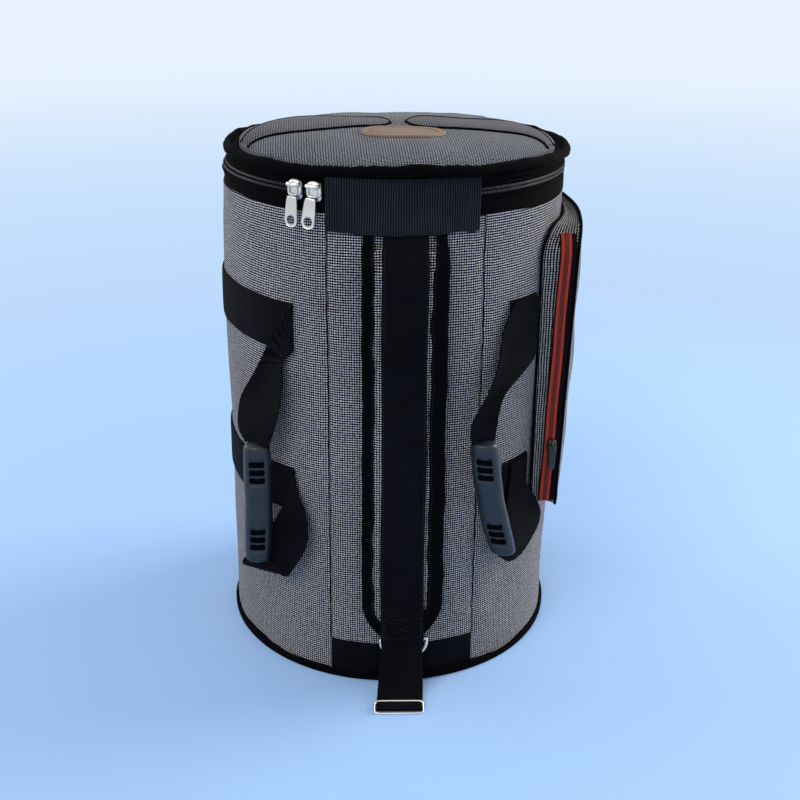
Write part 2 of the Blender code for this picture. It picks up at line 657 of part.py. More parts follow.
def make_ring():
    """A short chape sewn to the kick panel, and the ring that hangs in its fold."""
    half = CHAPE_WIDTH / BASE_RADIUS / 2
    columns = columns_between(-half, half, COLUMN_STEP / 4)
    wall_layer("ring_chape", "black_webbing", CHAPE_BOTTOM, CHAPE_BOTTOM + CHAPE_HEIGHT, GAP,
               GAP + WEBBING, columns)
    route = []
    for turn in np.linspace(0.0, pi, 9):
        route.append(RING_AXIS + np.array([cos(turn) * RING_WIDTH / 2, 0.0, 0.0])
                     + RING_DOWN * RING_DEPTH * sin(turn) ** 0.8)
    bow = np.asarray(route)
    normal = np.cross(np.array([1.0, 0.0, 0.0]), RING_DOWN)
    ahead = np.roll(bow, -1, axis=0) - np.roll(bow, 1, axis=0)
    sections = []
    for centre, direction in zip(bow, ahead):
        side = np.cross(direction / np.linalg.norm(direction), normal)
        rim = []
        for turn in np.arange(6) * pi / 3:
            rim.append(centre + RING_WIRE_RADIUS * (side * cos(turn) + normal * sin(turn)))
        sections.append(rim)
    loft("d_ring", "nickel", sections, RING_AXIS, closed=True)


def make_tail():
    """Webbing from the strap's end down to the slide on the floor, and its return to the ring."""
    side = np.array([1.0, 0.0, 0.0])
    slide_y = -(BASE_RADIUS + SLIDE_DISTANCE)
    lay = WEBBING / 2 + GAP
    top = TAIL_TOP
    tail_end = np.array([0.0, slide_y + SLIDE_DEPTH / 2 + GAP, lay + WEBBING + GAP])
    middle = (top + tail_end) / 2
    belly = np.array([0.0, -RING_DEPTH * 0.25, -RING_DEPTH * 0.1])
    route = (top, top + (middle - top) * 0.5 + belly * 0.6, middle + belly, tail_end)
    faces = [np.array([0.0, -1.0, 0.0])]
    for before, after in zip(route[:-2], route[2:]):
        faces.append(np.cross(after - before, side))
    faces.append(UP)
    stations = [(centre, side, face, TAIL_WIDTH, WEBBING) for centre, face in zip(route, faces)]
    ribbon("tail_webbing", "black_webbing", stations, TAIL_TOP)
    start = BOW_BOTTOM + RING_DOWN * (RING_WIRE_RADIUS + GAP + WEBBING / 2)
    finish_point = np.array([0.0, tail_end[1], lay])
    face = np.cross(finish_point - start, side)
    width = RING_WIDTH - 6 * RING_WIRE_RADIUS
    ribbon("tail_return", "black_webbing", ((start, side, face, width * 0.6, WEBBING),
                                            (finish_point, side, UP, width, WEBBING)), TAIL_TOP)
    make_slide(slide_y)


def make_slide(slide_y):
    """A flat metal slide lying on the floor: a frame with a bar across its middle."""
    half = SLIDE_DEPTH / 2
    xs = (-SLIDE_WIDTH / 2, SLIDE_BAR - SLIDE_WIDTH / 2, SLIDE_WIDTH / 2 - SLIDE_BAR, SLIDE_WIDTH / 2)
    ys = (-half, SLIDE_BAR - half, -SLIDE_BAR / 2, SLIDE_BAR / 2, half - SLIDE_BAR, half)
    open_cells = ((1, 1), (1, 3))
    points = []
    for level in (GAP, GAP + SLIDE_THICKNESS):
        for y in ys:
            points.extend((x, slide_y + y, level) for x in xs)
    count = len(xs) * len(ys)
    cells = [(i, j) for j in range(len(ys) - 1) for i in range(len(xs) - 1) if (i, j) not in open_cells]
    faces = []
    sides = {}
    for i, j in cells:
        near = j * len(xs) + i
        corners = (near, near + 1, near + len(xs) + 1, near + len(xs))
        faces.append(corners)
        faces.append(tuple(corner + count for corner in corners))
        for first, second in zip(corners, corners[1:] + corners[:1]):
            key = (min(first, second), max(first, second))
            sides[key] = sides.get(key, 0) + 1
    for (first, second), uses in sides.items():
        if uses == 1:
            faces.append((first, second, second + count, first + count))
    add_solid("slide_buckle", "nickel", points, faces, TAIL_TOP)


# The seam of the pocket's face is flat, so it stands its depth off the wall where the wall is widest
POCKET_WALL_RADIUS = max(wall_radius(pi / 2, POCKET_BOTTOM), wall_radius(pi / 2, POCKET_TOP))
POCKET_REACH = sqrt(POCKET_WALL_RADIUS ** 2 - POCKET_HALF_WIDTH ** 2) + POCKET_DEPTH


def pocket_outline():
    """Points (y, z) and inward normals round the pocket, front bottom corner first."""
    corners = ((-1, 1, POCKET_TOP_CORNER, 180.0), (1, 1, POCKET_TOP_CORNER, 90.0),
               (1, -1, POCKET_BOTTOM_CORNER, 0.0), (-1, -1, POCKET_BOTTOM_CORNER, -90.0))
    middle = (POCKET_TOP + POCKET_BOTTOM) / 2
    half_height = (POCKET_TOP - POCKET_BOTTOM) / 2
    places = []
    for side_y, side_z, radius, start in corners:
        centre_y = side_y * (POCKET_HALF_WIDTH - radius)
        centre_z = middle + side_z * (half_height - radius)
        for turn in np.linspace(radians(start), radians(start) - pi / 2, 5):
            places.append((centre_y + radius * cos(turn), centre_z + radius * sin(turn),
                           -cos(turn), -sin(turn)))
    return np.asarray(places)


def pocket_reach(y, z):
    """How far out the pocket's face lies: fullest along its middle."""
    half_height = (POCKET_TOP - POCKET_BOTTOM) / 2
    level = (z - (POCKET_TOP + POCKET_BOTTOM) / 2) / half_height
    fullness = (1.0 - (y / POCKET_HALF_WIDTH) ** 2) * (1.0 - 0.25 * level ** 4)
    return POCKET_REACH + POCKET_BULGE * fullness


def wall_reach(y, z):
    """Where the body's wall lies at this y, on the pocket's side."""
    radius = wall_radius(pi / 2, z) + WEBBING / 2
    return np.sqrt(radius ** 2 - y ** 2)


def gusset(name, places):
    """A strip of the pocket's side along part of its outline, from the wall to the face."""
    y, z, in_y, in_z = places.T
    edge = pocket_reach(y, z) - 2 * GAP
    front = np.stack([np.stack([wall_reach(y, z), y, z], axis=-1), np.stack([edge, y, z], axis=-1)])
    inner_y = y + in_y * FABRIC
    inner_z = z + in_z * FABRIC
    foot = wall_reach(inner_y, inner_z)
    back = np.stack([np.stack([foot, inner_y, inner_z], axis=-1),
                     np.stack([edge, inner_y, inner_z], axis=-1)])
    return solid_between(name, "grey_tweed", front, back)


def split(first, second, share):
    """A place between two places of the outline, with its normal kept."""
    return first + (second - first) * share


def dense(first, second, count):
    return np.asarray([split(first, second, share) for share in np.linspace(0.0, 1.0, count)])


def make_pocket():
    """Four gussets, the bulging face, the binding round its edge and the zip on the front gusset."""
    outline = pocket_outline()
    trim = GAP / POCKET_HALF_WIDTH
    sides = {
        "pocket_front_gusset": dense(split(outline[19], outline[0], trim), split(outline[19], outline[0],
                                                                               1 - trim), 2),
        "pocket_top_gusset": np.concatenate([outline[0:5], dense(outline[4], outline[5], 7)[1:-1],
                                             outline[5:10]]),
        "pocket_rear_gusset": dense(split(outline[9], outline[10], trim), split(outline[9], outline[10],
                                                                                1 - trim), 2),
        "pocket_bottom_gusset": np.concatenate([outline[10:15], dense(outline[14], outline[15], 7)[1:-1],
                                                outline[15:20]]),
    }
    for name, places in sides.items():
        gusset(name, places)
    around = np.concatenate([sides["pocket_top_gusset"], sides["pocket_bottom_gusset"]])
    centre = np.array([0.0, (POCKET_TOP + POCKET_BOTTOM) / 2])
    rings = []
    for share in (0.15, 0.45, 0.75, 1.0):
        rings.append(centre + (around[:, :2] - centre) * share)
    face_yz = np.stack(rings)
    inner_x = pocket_reach(face_yz[..., 0], face_yz[..., 1])
    back = np.concatenate([inner_x[..., None], face_yz], axis=-1)
    front = back + np.array([FABRIC, 0.0, 0.0])
    solid_between("pocket_face", "grey_tweed", front, back, wrap=True, filled=True)
    make_pocket_binding(around)
    make_pocket_zip()


def make_pocket_binding(around):
    """A round binding over the seam between gussets and face."""
    outset = POCKET_BINDING_RADIUS + GAP
    sections = []
    for y, z, in_y, in_z in around:
        centre = np.array([pocket_reach(y, z) + FABRIC / 2, y - in_y * outset, z - in_z * outset])
        away = np.array([0.0, -in_y, -in_z])
        over = np.array([1.0, 0.0, 0.0])
        rim = []
        for turn in np.arange(6) * pi / 3:
            rim.append(centre + POCKET_BINDING_RADIUS * (away * cos(turn) + over * sin(turn)))
        sections.append(rim)
    loft("pocket_binding", "black_binding", sections, closed=True)


def bar(name, material, low, high, pivot=(0.0, 0.0, 0.0)):
    """A plain strip from its lowest to its highest corner."""
    points = []
    for z in (low[2], high[2]):
        points.extend([(low[0], low[1], z), (high[0], low[1], z), (high[0], high[1], z), (low[0], high[1], z)])
    return loft(name, material, [points[:4], points[4:]], pivot)


def make_pocket_zip():
    """Red tape and coil up the front gusset, with a black slider and a hanging pull."""
    face_y = -POCKET_HALF_WIDTH - GAP
    right = POCKET_REACH - POCKET_BINDING_RADIUS - 2 * GAP
    left = right - POCKET_ZIP_WIDTH
    bottom = POCKET_BOTTOM + POCKET_BOTTOM_CORNER
    top = POCKET_TOP - POCKET_TOP_CORNER
    tape_y = face_y - POCKET_TAPE_THICKNESS
    bar("pocket_zip_tape", "red_tape", (left, tape_y, bottom), (right, face_y, top))
    centre_x = (left + right) / 2
    coil_y = tape_y - GAP
    half = POCKET_TEETH_WIDTH / 2
    bar("pocket_zip_teeth", "red_coil", (centre_x - half, coil_y - POCKET_TEETH_THICKNESS, bottom),
        (centre_x + half, coil_y, top))
    slider_y = coil_y - POCKET_TEETH_THICKNESS - GAP - POCKET_SLIDER_THICKNESS / 2
    centre = np.array([centre_x, slider_y, POCKET_SLIDER_HEIGHT])
    block("pocket_slider", "black_metal", centre, np.array([POCKET_SLIDER_WIDTH / 2, 0.0, 0.0]),
          UP * POCKET_SLIDER_LENGTH / 2, np.array([0.0, -POCKET_SLIDER_THICKNESS / 2, 0.0]), centre)
    pull_y = slider_y - POCKET_SLIDER_THICKNESS / 2 - GAP - POCKET_PULL_THICKNESS / 2
    axle = np.array([centre_x, pull_y, POCKET_SLIDER_HEIGHT + POCKET_SLIDER_LENGTH / 4])
    low = axle - np.array([POCKET_PULL_WIDTH / 2, POCKET_PULL_THICKNESS / 2, POCKET_PULL_LENGTH])
    high = axle + np.array([POCKET_PULL_WIDTH / 2, POCKET_PULL_THICKNESS / 2, 0.0])
    bar("pocket_pull", "black_metal", low, high, axle)


def main():
    for leftover in list(bpy.data.objects):
        bpy.data.objects.remove(leftover)
    make_base()
    make_wall()
    make_main_zip()
    make_lid()
    make_sliders()
    make_bands()
    make_handle("left", LEFT_FOLD_ANGLE, LEFT_GRIP_TOP_ANGLE, LEFT_GRIP_TOP, LEFT_GRIP_BOTTOM_ANGLE,
                LEFT_GRIP_BOTTOM)
    make_handle("right", RIGHT_FOLD_ANGLE, RIGHT_GRIP_TOP_ANGLE, RIGHT_GRIP_TOP, RIGHT_GRIP_BOTTOM_ANGLE,
                RIGHT_GRIP_BOTTOM)
    make_strap()
    make_ring()
    make_tail()
    make_pocket()


main()
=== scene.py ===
# %% [markdown]
# # A padded round bag for a goblet drum
#
# The bag stands upright with its lid closed. Its carcass is already there as plain solids at real size,
# and this lesson dresses them: grey basket-weave cloth over foam, black webbing, a fat piping round the
# lid, coil zips with metal sliders, rubber grips and one oval leather patch. Each step says what a piece
# is on the real bag, how it could be made in Blender, and why one way was chosen.

# %% Load the plain solids
import json
from math import cos, pi, radians, sin

import bpy
import numpy as np
from mathutils import Matrix, Vector

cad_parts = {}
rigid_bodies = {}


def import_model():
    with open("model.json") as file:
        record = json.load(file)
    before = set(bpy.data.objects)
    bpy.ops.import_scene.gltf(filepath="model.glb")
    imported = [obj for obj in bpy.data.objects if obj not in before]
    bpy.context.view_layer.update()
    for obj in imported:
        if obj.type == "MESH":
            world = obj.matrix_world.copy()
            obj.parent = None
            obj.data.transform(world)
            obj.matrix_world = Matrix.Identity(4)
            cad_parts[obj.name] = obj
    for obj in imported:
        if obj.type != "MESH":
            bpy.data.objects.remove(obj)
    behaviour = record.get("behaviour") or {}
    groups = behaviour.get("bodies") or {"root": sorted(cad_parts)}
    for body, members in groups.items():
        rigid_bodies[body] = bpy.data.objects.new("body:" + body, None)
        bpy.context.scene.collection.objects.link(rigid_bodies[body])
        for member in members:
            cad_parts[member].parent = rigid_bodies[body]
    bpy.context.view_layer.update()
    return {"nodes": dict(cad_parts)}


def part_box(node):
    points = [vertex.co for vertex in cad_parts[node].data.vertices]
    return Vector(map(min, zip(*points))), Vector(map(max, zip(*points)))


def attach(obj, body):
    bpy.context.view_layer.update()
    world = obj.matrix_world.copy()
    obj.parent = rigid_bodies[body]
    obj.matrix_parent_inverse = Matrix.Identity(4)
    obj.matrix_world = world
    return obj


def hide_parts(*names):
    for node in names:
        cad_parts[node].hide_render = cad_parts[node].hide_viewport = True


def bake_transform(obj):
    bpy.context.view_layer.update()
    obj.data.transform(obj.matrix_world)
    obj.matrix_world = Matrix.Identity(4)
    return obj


for leftover in list(bpy.data.objects):
    bpy.data.objects.remove(leftover)
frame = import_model()

# %% [markdown]
# Everything on this bag lies on, or just off, a tapered tube. So places are given as an angle from the
# front, a height, and an outset from the cloth. The tube's radius is a formula of angle and height,
# which keeps every layer parallel to the next one without any measuring on meshes.

# %% The wall as a formula
BASE_RADIUS = 0.1454
TOP_RADIUS = 0.1425
ZIP_HEIGHT = 0.4206
FRONT_FLATNESS = 0.0020
FRONT_FLAT_ANGLE = radians(25.0)
GAP = 0.0003
FABRIC = 0.0016
WEBBING = 0.0018
LEFT_SEAM = radians(-24.0)
RIGHT_SEAM = radians(25.5)
UP = np.array([0.0, 0.0, 1.0])
ASIDE = np.array([1.0, 0.0, 0.0])
WALL_WAVES = ((0.0007, 3, 19, 0.6), (0.0006, 5, -13, 2.1), (0.00035, 11, 31, 1.2), (0.0004, 2, 43, 0.0))
GROOVE_DEPTH, GROOVE_WIDTH = 0.0011, 0.0028
PUCKER_DEPTH, PUCKER_WIDTH, PUCKER_LENGTH = 0.00035, 0.014, 0.019
RIDGE_HEIGHT, RIDGE_WIDTH, RIDGE_AWAY = 0.0006, 0.009, 0.012
FOOT_STIFF, FOOT_FADE = 0.006, 0.05
RIM_STIFF, RIM_FADE = 0.402, 0.03
RIM_DRAW, DRAW_FROM, DRAW_FADE = 0.0022, 0.30, 0.11


def limited(value):
    """The value, held between nought and one."""
    return np.clip(value, 0.0, 1.0)


def eased(value):
    """A share from nought to one that starts and stops softly."""
    share = limited(value)
    return share * share * (3 - 2 * share)


def full_turn(count):
    """Angles at even steps round a whole turn."""
    return np.arange(count) * 2 * pi / count


def wrapped(angle):
    """The angle brought between minus and plus half a turn."""
    return (np.asarray(angle) + pi) % (2 * pi) - pi


def wall_radius(angle, height):
    """A straight taper from foot to rim, less a shallow flat at the top of the front."""
    share = height / ZIP_HEIGHT
    flat = FRONT_FLATNESS * share * np.maximum(0.0, 1.0 - (wrapped(angle) / FRONT_FLAT_ANGLE) ** 2)
    return BASE_RADIUS + (TOP_RADIUS - BASE_RADIUS) * share - flat


def ripple(angle, height):
    """How far the soft wall stands out or in, in metres.

    Slow sine waves round and up the bag, two narrow grooves along the front panel's seams, and beside
    them short puckers on slightly fuller cloth. These fade to nothing at the foot and under the zip,
    where the rim is stiff. On its left the rim is drawn in by two millimetres.
    """
    turn = wrapped(angle)
    fade = limited((height - FOOT_STIFF) / FOOT_FADE) * limited((RIM_STIFF - height) / RIM_FADE)
    waves = sum(size * np.sin(around * turn + upwards * height + start)
                for size, around, upwards, start in WALL_WAVES)
    for seam, phase in ((LEFT_SEAM, 0.0), (RIGHT_SEAM, 1.7)):
        away = (turn - seam) * BASE_RADIUS
        pucker = np.sin(2 * pi * height / PUCKER_LENGTH + phase + 60 * away)
        waves = waves - GROOVE_DEPTH * np.exp(-(away / GROOVE_WIDTH) ** 2)
        waves = waves + PUCKER_DEPTH * np.exp(-(away / PUCKER_WIDTH) ** 2) * pucker
        waves = waves + RIDGE_HEIGHT * np.exp(-((np.abs(away) - RIDGE_AWAY) / RIDGE_WIDTH) ** 2)
    drawn = RIM_DRAW * limited(-np.sin(turn)) ** 2 * eased((height - DRAW_FROM) / DRAW_FADE)
    return fade * waves - drawn


def on_wall(angle, height, outset):
    """Points that stand outset metres off the soft wall's cloth."""
    radius = wall_radius(angle, height) + ripple(angle, height) + outset
    return np.stack(np.broadcast_arrays(radius * np.sin(angle), -radius * np.cos(angle), height), axis=-1)


def tangent(angle):
    """The level direction along the wall, towards larger angles."""
    return np.stack(np.broadcast_arrays(np.cos(angle), np.sin(angle), 0.0), axis=-1)


def outward(angle):
    """The level direction straight away from the bag's axis."""
    return np.stack(np.broadcast_arrays(np.sin(angle), -np.cos(angle), 0.0), axis=-1)


print("radius at the foot and rim", wall_radius(pi, 0.0), wall_radius(pi, ZIP_HEIGHT))

# %% [markdown]
# A node of the frame already says where a piece begins and ends. Reading that from its corners saves
# typing the heights and angles a second time, and the looks follow when the carcass changes.

# %% Where a solid lies round the bag


def read_corners(piece):
    """The corners of a piece's mesh, one row each."""
    points = np.empty(len(piece.data.vertices) * 3)
    piece.data.vertices.foreach_get("co", points)
    return points.reshape(-1, 3)


def node_points(name):
    """The corners of a solid of the frame, one row each."""
    return read_corners(frame["nodes"][name])


def span(name):
    """First and last angle, lowest and highest point of a solid round the bag's axis.

    The widest step between neighbouring angles is where the solid is open. A solid without such a step
    goes all round, and then the angles are nought and a whole turn.
    """
    points = node_points(name)
    turns = np.sort(np.arctan2(points[:, 0], -points[:, 1]))
    steps = np.diff(np.append(turns, turns[0] + 2 * pi))
    widest = steps.argmax()
    low, high = points[:, 2].min(), points[:, 2].max()
    if steps[widest] < radians(12):
        return 0.0, 2 * pi, low, high
    first = turns[(widest + 1) % len(turns)]
    last = turns[widest]
    return first, last + (2 * pi if last < first else 0.0), low, high


print("front panel spans", span("front_panel"))

# %% [markdown]
# Cloth, webbing and foam are all thin closed skins. Solidify could thicken a sheet, but here both faces
# are known formulas, so one helper joins a front grid to a back grid and closes the rim between them.
# Each corner also gets a place in metres along the cloth, so that a weave has its real size.

# %% Closed skins from two grids


def signed_volume(points, faces):
    """Six times the volume inside faces, above zero if they point outwards: a sum over fan triangles."""
    total = 0.0
    for block in faces:
        for k in range(1, block.shape[1] - 1):
            a, b, c = points[block[:, 0]], points[block[:, k]], points[block[:, k + 1]]
            total += np.einsum("ij,ij->", a, np.cross(b, c))
    return total


def put_mesh(name, material, points, faces, places):
    """An object from corners, blocks of faces and the place in metres of each face's corners."""
    if signed_volume(points, faces) < 0:
        faces = [block[:, ::-1] for block in faces]
        places = [block[:, ::-1] for block in places]
    sizes = np.concatenate([np.full(len(block), block.shape[1]) for block in faces])
    loops = np.concatenate([block.ravel() for block in faces])
    mesh = bpy.data.meshes.new(name)
    mesh.vertices.add(len(points))
    mesh.vertices.foreach_set("co", np.asarray(points, np.float32).ravel())
    mesh.loops.add(len(loops))
    mesh.loops.foreach_set("vertex_index", loops.astype(np.int32))
    mesh.polygons.add(len(sizes))
    mesh.polygons.foreach_set("loop_start", (np.cumsum(sizes) - sizes).astype(np.int32))
    mesh.update(calc_edges=True)
    layer = mesh.uv_layers.new(name="metres")
    flat = np.concatenate([block.reshape(-1, 2) for block in places])
    layer.data.foreach_set("uv", flat.astype(np.float32).ravel())
    mesh.materials.append(material)
    mesh.shade_smooth()
    mesh.set_sharp_from_angle(angle=radians(42))
    piece = bpy.data.objects.new(name, mesh)
    bpy.context.scene.collection.objects.link(piece)
    return piece


def running_length(points):
    """How far each point lies along a line of points, from nought at the first."""
    return np.concatenate([[0.0], np.cumsum(np.linalg.norm(np.diff(points, axis=0), axis=1))])


def closed_rings(grid):
    """A grid of rings with its first column once more at the end."""
    return np.concatenate([grid, grid[:, :1]], axis=1)


def lengths(grid, wrap):
    """Place in metres of each grid point: running length along the middle row and middle column."""
    rows, columns, _ = grid.shape
    row = (closed_rings(grid) if wrap else grid)[rows // 2]
    return np.stack(np.meshgrid(running_length(row), running_length(grid[:, columns // 2])), axis=-1)


def grid_quads(rows, columns, wrap=True, closed=False):
    """Corner numbers of a grid's quads, and the row and column of each one's first corner.

    wrap joins the last column to the first, and closed joins the last row to the first.
    """
    i, j = np.mgrid[0:rows if closed else rows - 1, 0:columns if wrap else columns - 1].reshape(2, -1)
    over, beside = (i + 1) % rows, (j + 1) % columns
    quads = [i * columns + j, i * columns + beside, over * columns + beside, over * columns + j]
    return np.stack(quads, axis=-1), i, j


def quad_places(uv, i, j):
    """Places in metres of the four corners of each quad."""
    return np.stack([uv[i, j], uv[i, j + 1], uv[i + 1, j + 1], uv[i + 1, j]], axis=1)


def shell(name, material, front, back, wrap=False, pole=False, places=None):
    """A closed skin between two grids of points (rows, columns, 3).

    Quads join neighbours on both grids and run along the open edges between them. wrap joins the last
    column to the first, and pole closes row nought of both grids with a fan round its middle.
    """
    rows, columns, _ = front.shape
    count = rows * columns
    uv = lengths(front, wrap) if places is None else places
    quads, i, j = grid_quads(rows, columns, wrap)
    quad_uv = quad_places(uv, i, j)
    faces = [quads, quads[:, ::-1] + count]
    corners = [quad_uv, quad_uv[:, ::-1]]
    j = np.arange(columns if wrap else columns - 1)
    beside = (j + 1) % columns
    last = (rows - 1) * columns
    edges = [(last + beside, last + j, uv[-1, j + 1], uv[-1, j])]
    if not pole:
        edges.append((j, beside, uv[0, j], uv[0, j + 1]))
    if not wrap:
        i = np.arange(rows - 1)
        edges.append(((i + 1) * columns, i * columns, uv[i + 1, 0], uv[i, 0]))
        edge = i * columns + columns - 1
        edges.append((edge, edge + columns, uv[i, -1], uv[i + 1, -1]))
    for first, second, first_uv, second_uv in edges:
        faces.append(np.stack([second, first, first + count, second + count], axis=-1))
        corners.append(np.stack([second_uv, first_uv, first_uv, second_uv], axis=1))
    points = [front.reshape(-1, 3), back.reshape(-1, 3)]
    if pole:
        points += [front[0].mean(axis=0)[None], back[0].mean(axis=0)[None]]
        middle = np.broadcast_to(uv[0].mean(axis=0), (len(j), 2))
        top = np.full(len(j), 2 * count)
        faces += [np.stack([beside, j, top], axis=-1),
                  np.stack([j + count, beside + count, top + 1], axis=-1)]
        corners += [np.stack([uv[0, j + 1], uv[0, j], middle], axis=1),
                    np.stack([uv[0, j], uv[0, j + 1], middle], axis=1)]
    return put_mesh(name, material, np.concatenate(points), faces, corners)


def sweep(name, material, sections, closed=False):
    """A closed body through equal rings of points (stations, points, 3), ends capped or joined."""
    stations, sides, _ = sections.shape
    uv = lengths(sections, True)
    if closed:
        step = np.linalg.norm(sections[-1, 0] - sections[0, 0])
        uv = np.concatenate([uv, uv[-1:] + np.array([0.0, step])])
    quads, i, j = grid_quads(stations, sides, closed=closed)
    faces, corners = [quads], [quad_places(uv, i, j)]
    points = sections.reshape(-1, 3)
    if not closed:
        ends = np.stack([sections[0].mean(axis=0), sections[-1].mean(axis=0)])
        points = np.concatenate([points, ends])
        j = np.arange(sides)
        beside = (j + 1) % sides
        low = np.full(sides, stations * sides)
        base = (stations - 1) * sides
        faces += [np.stack([beside, j, low], axis=-1), np.stack([base + j, base + beside, low + 1], axis=-1)]
        corners += [np.stack([uv[0, j + 1], uv[0, j], uv[0, j]], axis=1),
                    np.stack([uv[-1, j], uv[-1, j + 1], uv[-1, j]], axis=1)]
    return put_mesh(name, material, points, faces, corners)


# %% [markdown]
# Straps, cords and wires are a profile carried along a path. The path is a smooth curve through a few
# given points: a Catmull-Rom spline passes through every one of them, which a Bezier or a
# B-spline with the same few points wouldn't.

# %% Paths, cords and straps


def curve_through(points, count):
    """Points on a smooth curve: cubic between neighbours, its slope taken from both sides of a point."""
    p = np.asarray(points, float)
    pad = np.concatenate([2 * p[:1] - p[1:2], p, 2 * p[-1:] - p[-2:-1]])
    t = np.linspace(0.0, len(p) - 1, count)
    k = np.minimum(t.astype(int), len(pad) - 4)
    s = (t - k)[:, None]
    a, b, c, d = pad[k], pad[k + 1], pad[k + 2], pad[k + 3]
    return 0.5 * (2 * b + (c - a) * s + (2 * a - 5 * b + 4 * c - d) * s ** 2
                  + (3 * b - a - 3 * c + d) * s ** 3)


def unit(vectors):
    """Each vector at length one."""
    return vectors / np.maximum(np.linalg.norm(vectors, axis=-1, keepdims=True), 1e-12)


def squared(direction, ahead):
    """The direction made square to ahead, at length one."""
    return unit(direction - np.sum(direction * ahead, axis=1, keepdims=True) * ahead)


def headings(path, closed=False):
    """The direction of travel at each point of a path."""
    if closed:
        return unit(np.roll(path, -1, axis=0) - np.roll(path, 1, axis=0))
    return unit(np.gradient(path, axis=0))


def tube(name, material, path, radius, sides=12, closed=False, up=UP, flat=1.0):
    """A round cord or wire: a circle square to the path, flat times as thick along the up direction."""
    ahead = headings(path, closed)
    lift = squared(up, ahead)
    side = np.cross(ahead, lift)
    turn = full_turn(sides)
    size = np.broadcast_to(radius, (len(path),))[:, None, None]
    rings = path[:, None] + size * (side[:, None] * np.cos(turn)[None, :, None]
                                    + flat * lift[:, None] * np.sin(turn)[None, :, None])
    return sweep(name, material, rings, closed)


UPPER_FACE = np.array([(-1.0, 0.0), (-0.985, 0.75), (-0.94, 1.0), (-0.6, 1.0), (-0.3, 1.0), (0.0, 1.0),
                       (0.3, 1.0), (0.6, 1.0), (0.94, 1.0), (0.985, 0.75)])
STRAP_PROFILE = np.concatenate([UPPER_FACE, -UPPER_FACE])


def strap(name, material, left, right, thickness, bow=0.0):
    """Webbing between two edge lines (points, 3): a flat profile with rolled edges between them.

    bow lifts the middle of the width off the straight line, in metres.
    """
    middle = (left + right) / 2
    half = (right - left) / 2
    face = unit(np.cross(half, headings(middle)))
    across, over = STRAP_PROFILE[:, 0], STRAP_PROFILE[:, 1]
    rise = np.atleast_2d(over * thickness / 2 + (1 - across ** 2) * bow)[..., None]
    rings = middle[:, None] + half[:, None] * across[None, :, None] + face[:, None] * rise
    return sweep(name, material, rings)


# %% [markdown]
# Stitches and zip teeth repeat hundreds of times. An array modifier would follow only one curve, so one
# small form is copied by numpy to every place at once, and all the copies share a mesh.

# %% Many copies of a small form


def pill(length, width, height):
    """Corners and quads of a rounded grain: three rings of six between two short end rings."""
    turn = full_turn(6)
    along = np.array([-0.5, -0.32, 0.0, 0.32, 0.5]) * length
    size = np.array([0.45, 0.9, 1.0, 0.9, 0.45])
    points = np.stack([np.repeat(along, 6), np.outer(size, np.cos(turn)).ravel() * width / 2,
                       np.outer(size, np.sin(turn)).ravel() * height / 2], axis=-1)
    quads = grid_quads(5, 6)[0]
    caps = np.array([[0, 5, 4, 3], [0, 3, 2, 1], [24, 25, 26, 27], [24, 27, 28, 29]])
    return points, np.concatenate([quads, caps])


def scatter(name, material, form, origins, ahead, up):
    """The form at each origin, its length along ahead and its height along up, as one mesh."""
    points, quads = form
    side = np.cross(up, ahead)
    placed = (origins[:, None] + points[None, :, 0:1] * ahead[:, None] + points[None, :, 1:2] * side[:, None]
              + points[None, :, 2:3] * up[:, None])
    shift = np.arange(len(origins))[:, None, None] * len(points)
    faces = (quads[None] + shift).reshape(-1, quads.shape[1])
    flat = np.broadcast_to(points[quads][..., :2], (len(origins),) + quads.shape + (2,))
    return put_mesh(name, material, placed.reshape(-1, 3), [faces], [flat.reshape(-1, quads.shape[1], 2)])


def read_at(rows, run, at):
    """Rows of numbers given at run, and here interpolated at other places along it."""
    return np.stack([np.interp(at, run, column) for column in rows.T], axis=-1)


def spaced(path, pitch):
    """Points every pitch metres along a path, and the path's direction at each."""
    run = running_length(path)
    count = max(2, int(round(run[-1] / pitch)))
    at = (np.arange(count) + 0.5) * run[-1] / count
    ahead = read_at(path, run, at + pitch / 4) - read_at(path, run, at - pitch / 4)
    return read_at(path, run, at), unit(ahead)


STITCH_PITCH = 0.0030


def stitches(name, material, lines, thread):
    """Rows of thread along lines of (path, outward directions at the path's points)."""
    rows = []
    for path, normal in lines:
        points, ahead = spaced(path, STITCH_PITCH)
        nearest = np.argmin(np.linalg.norm(points[:, None] - path[None], axis=2), axis=1)
        rows.append((points, ahead, squared(np.broadcast_to(normal, path.shape)[nearest], ahead)))
    form = pill(STITCH_PITCH * 0.72, thread, thread * 0.8)
    return scatter(name, material, form, *(np.concatenate(part) for part in zip(*rows)))


def dress(piece, body, slot, *nodes):
    """The piece moves with a body and stands for solids of the frame, which are hidden; slot is not used."""
    if body:
        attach(piece, body)
    if nodes:
        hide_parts(*nodes)
    return piece


# %% [markdown]
# ## Finishes
#
# Every cloth here is woven, and the weave shows from a step away. An image texture would tie the weave
# to one file and one size; instead two shader node groups draw it from the place in metres that each
# piece carries: one a basket weave of light and dark yarn, the other ribbed webbing. A third group
# gives slow uneven fading, a fourth the grain of leather and moulded rubber.

# %% Small helpers for shader nodes


def wire(tree, value, socket):
    """Puts a number, colour or another node's output into a socket."""
    if isinstance(value, bpy.types.NodeSocket):
        tree.links.new(value, socket)
    else:
        socket.default_value = value


def calculate(tree, operation, *values):
    """A Math node of one operation on numbers or outputs."""
    node = tree.nodes.new("ShaderNodeMath")
    node.operation = operation
    for value, socket in zip(values, node.inputs):
        wire(tree, value, socket)
    return node.outputs[0]


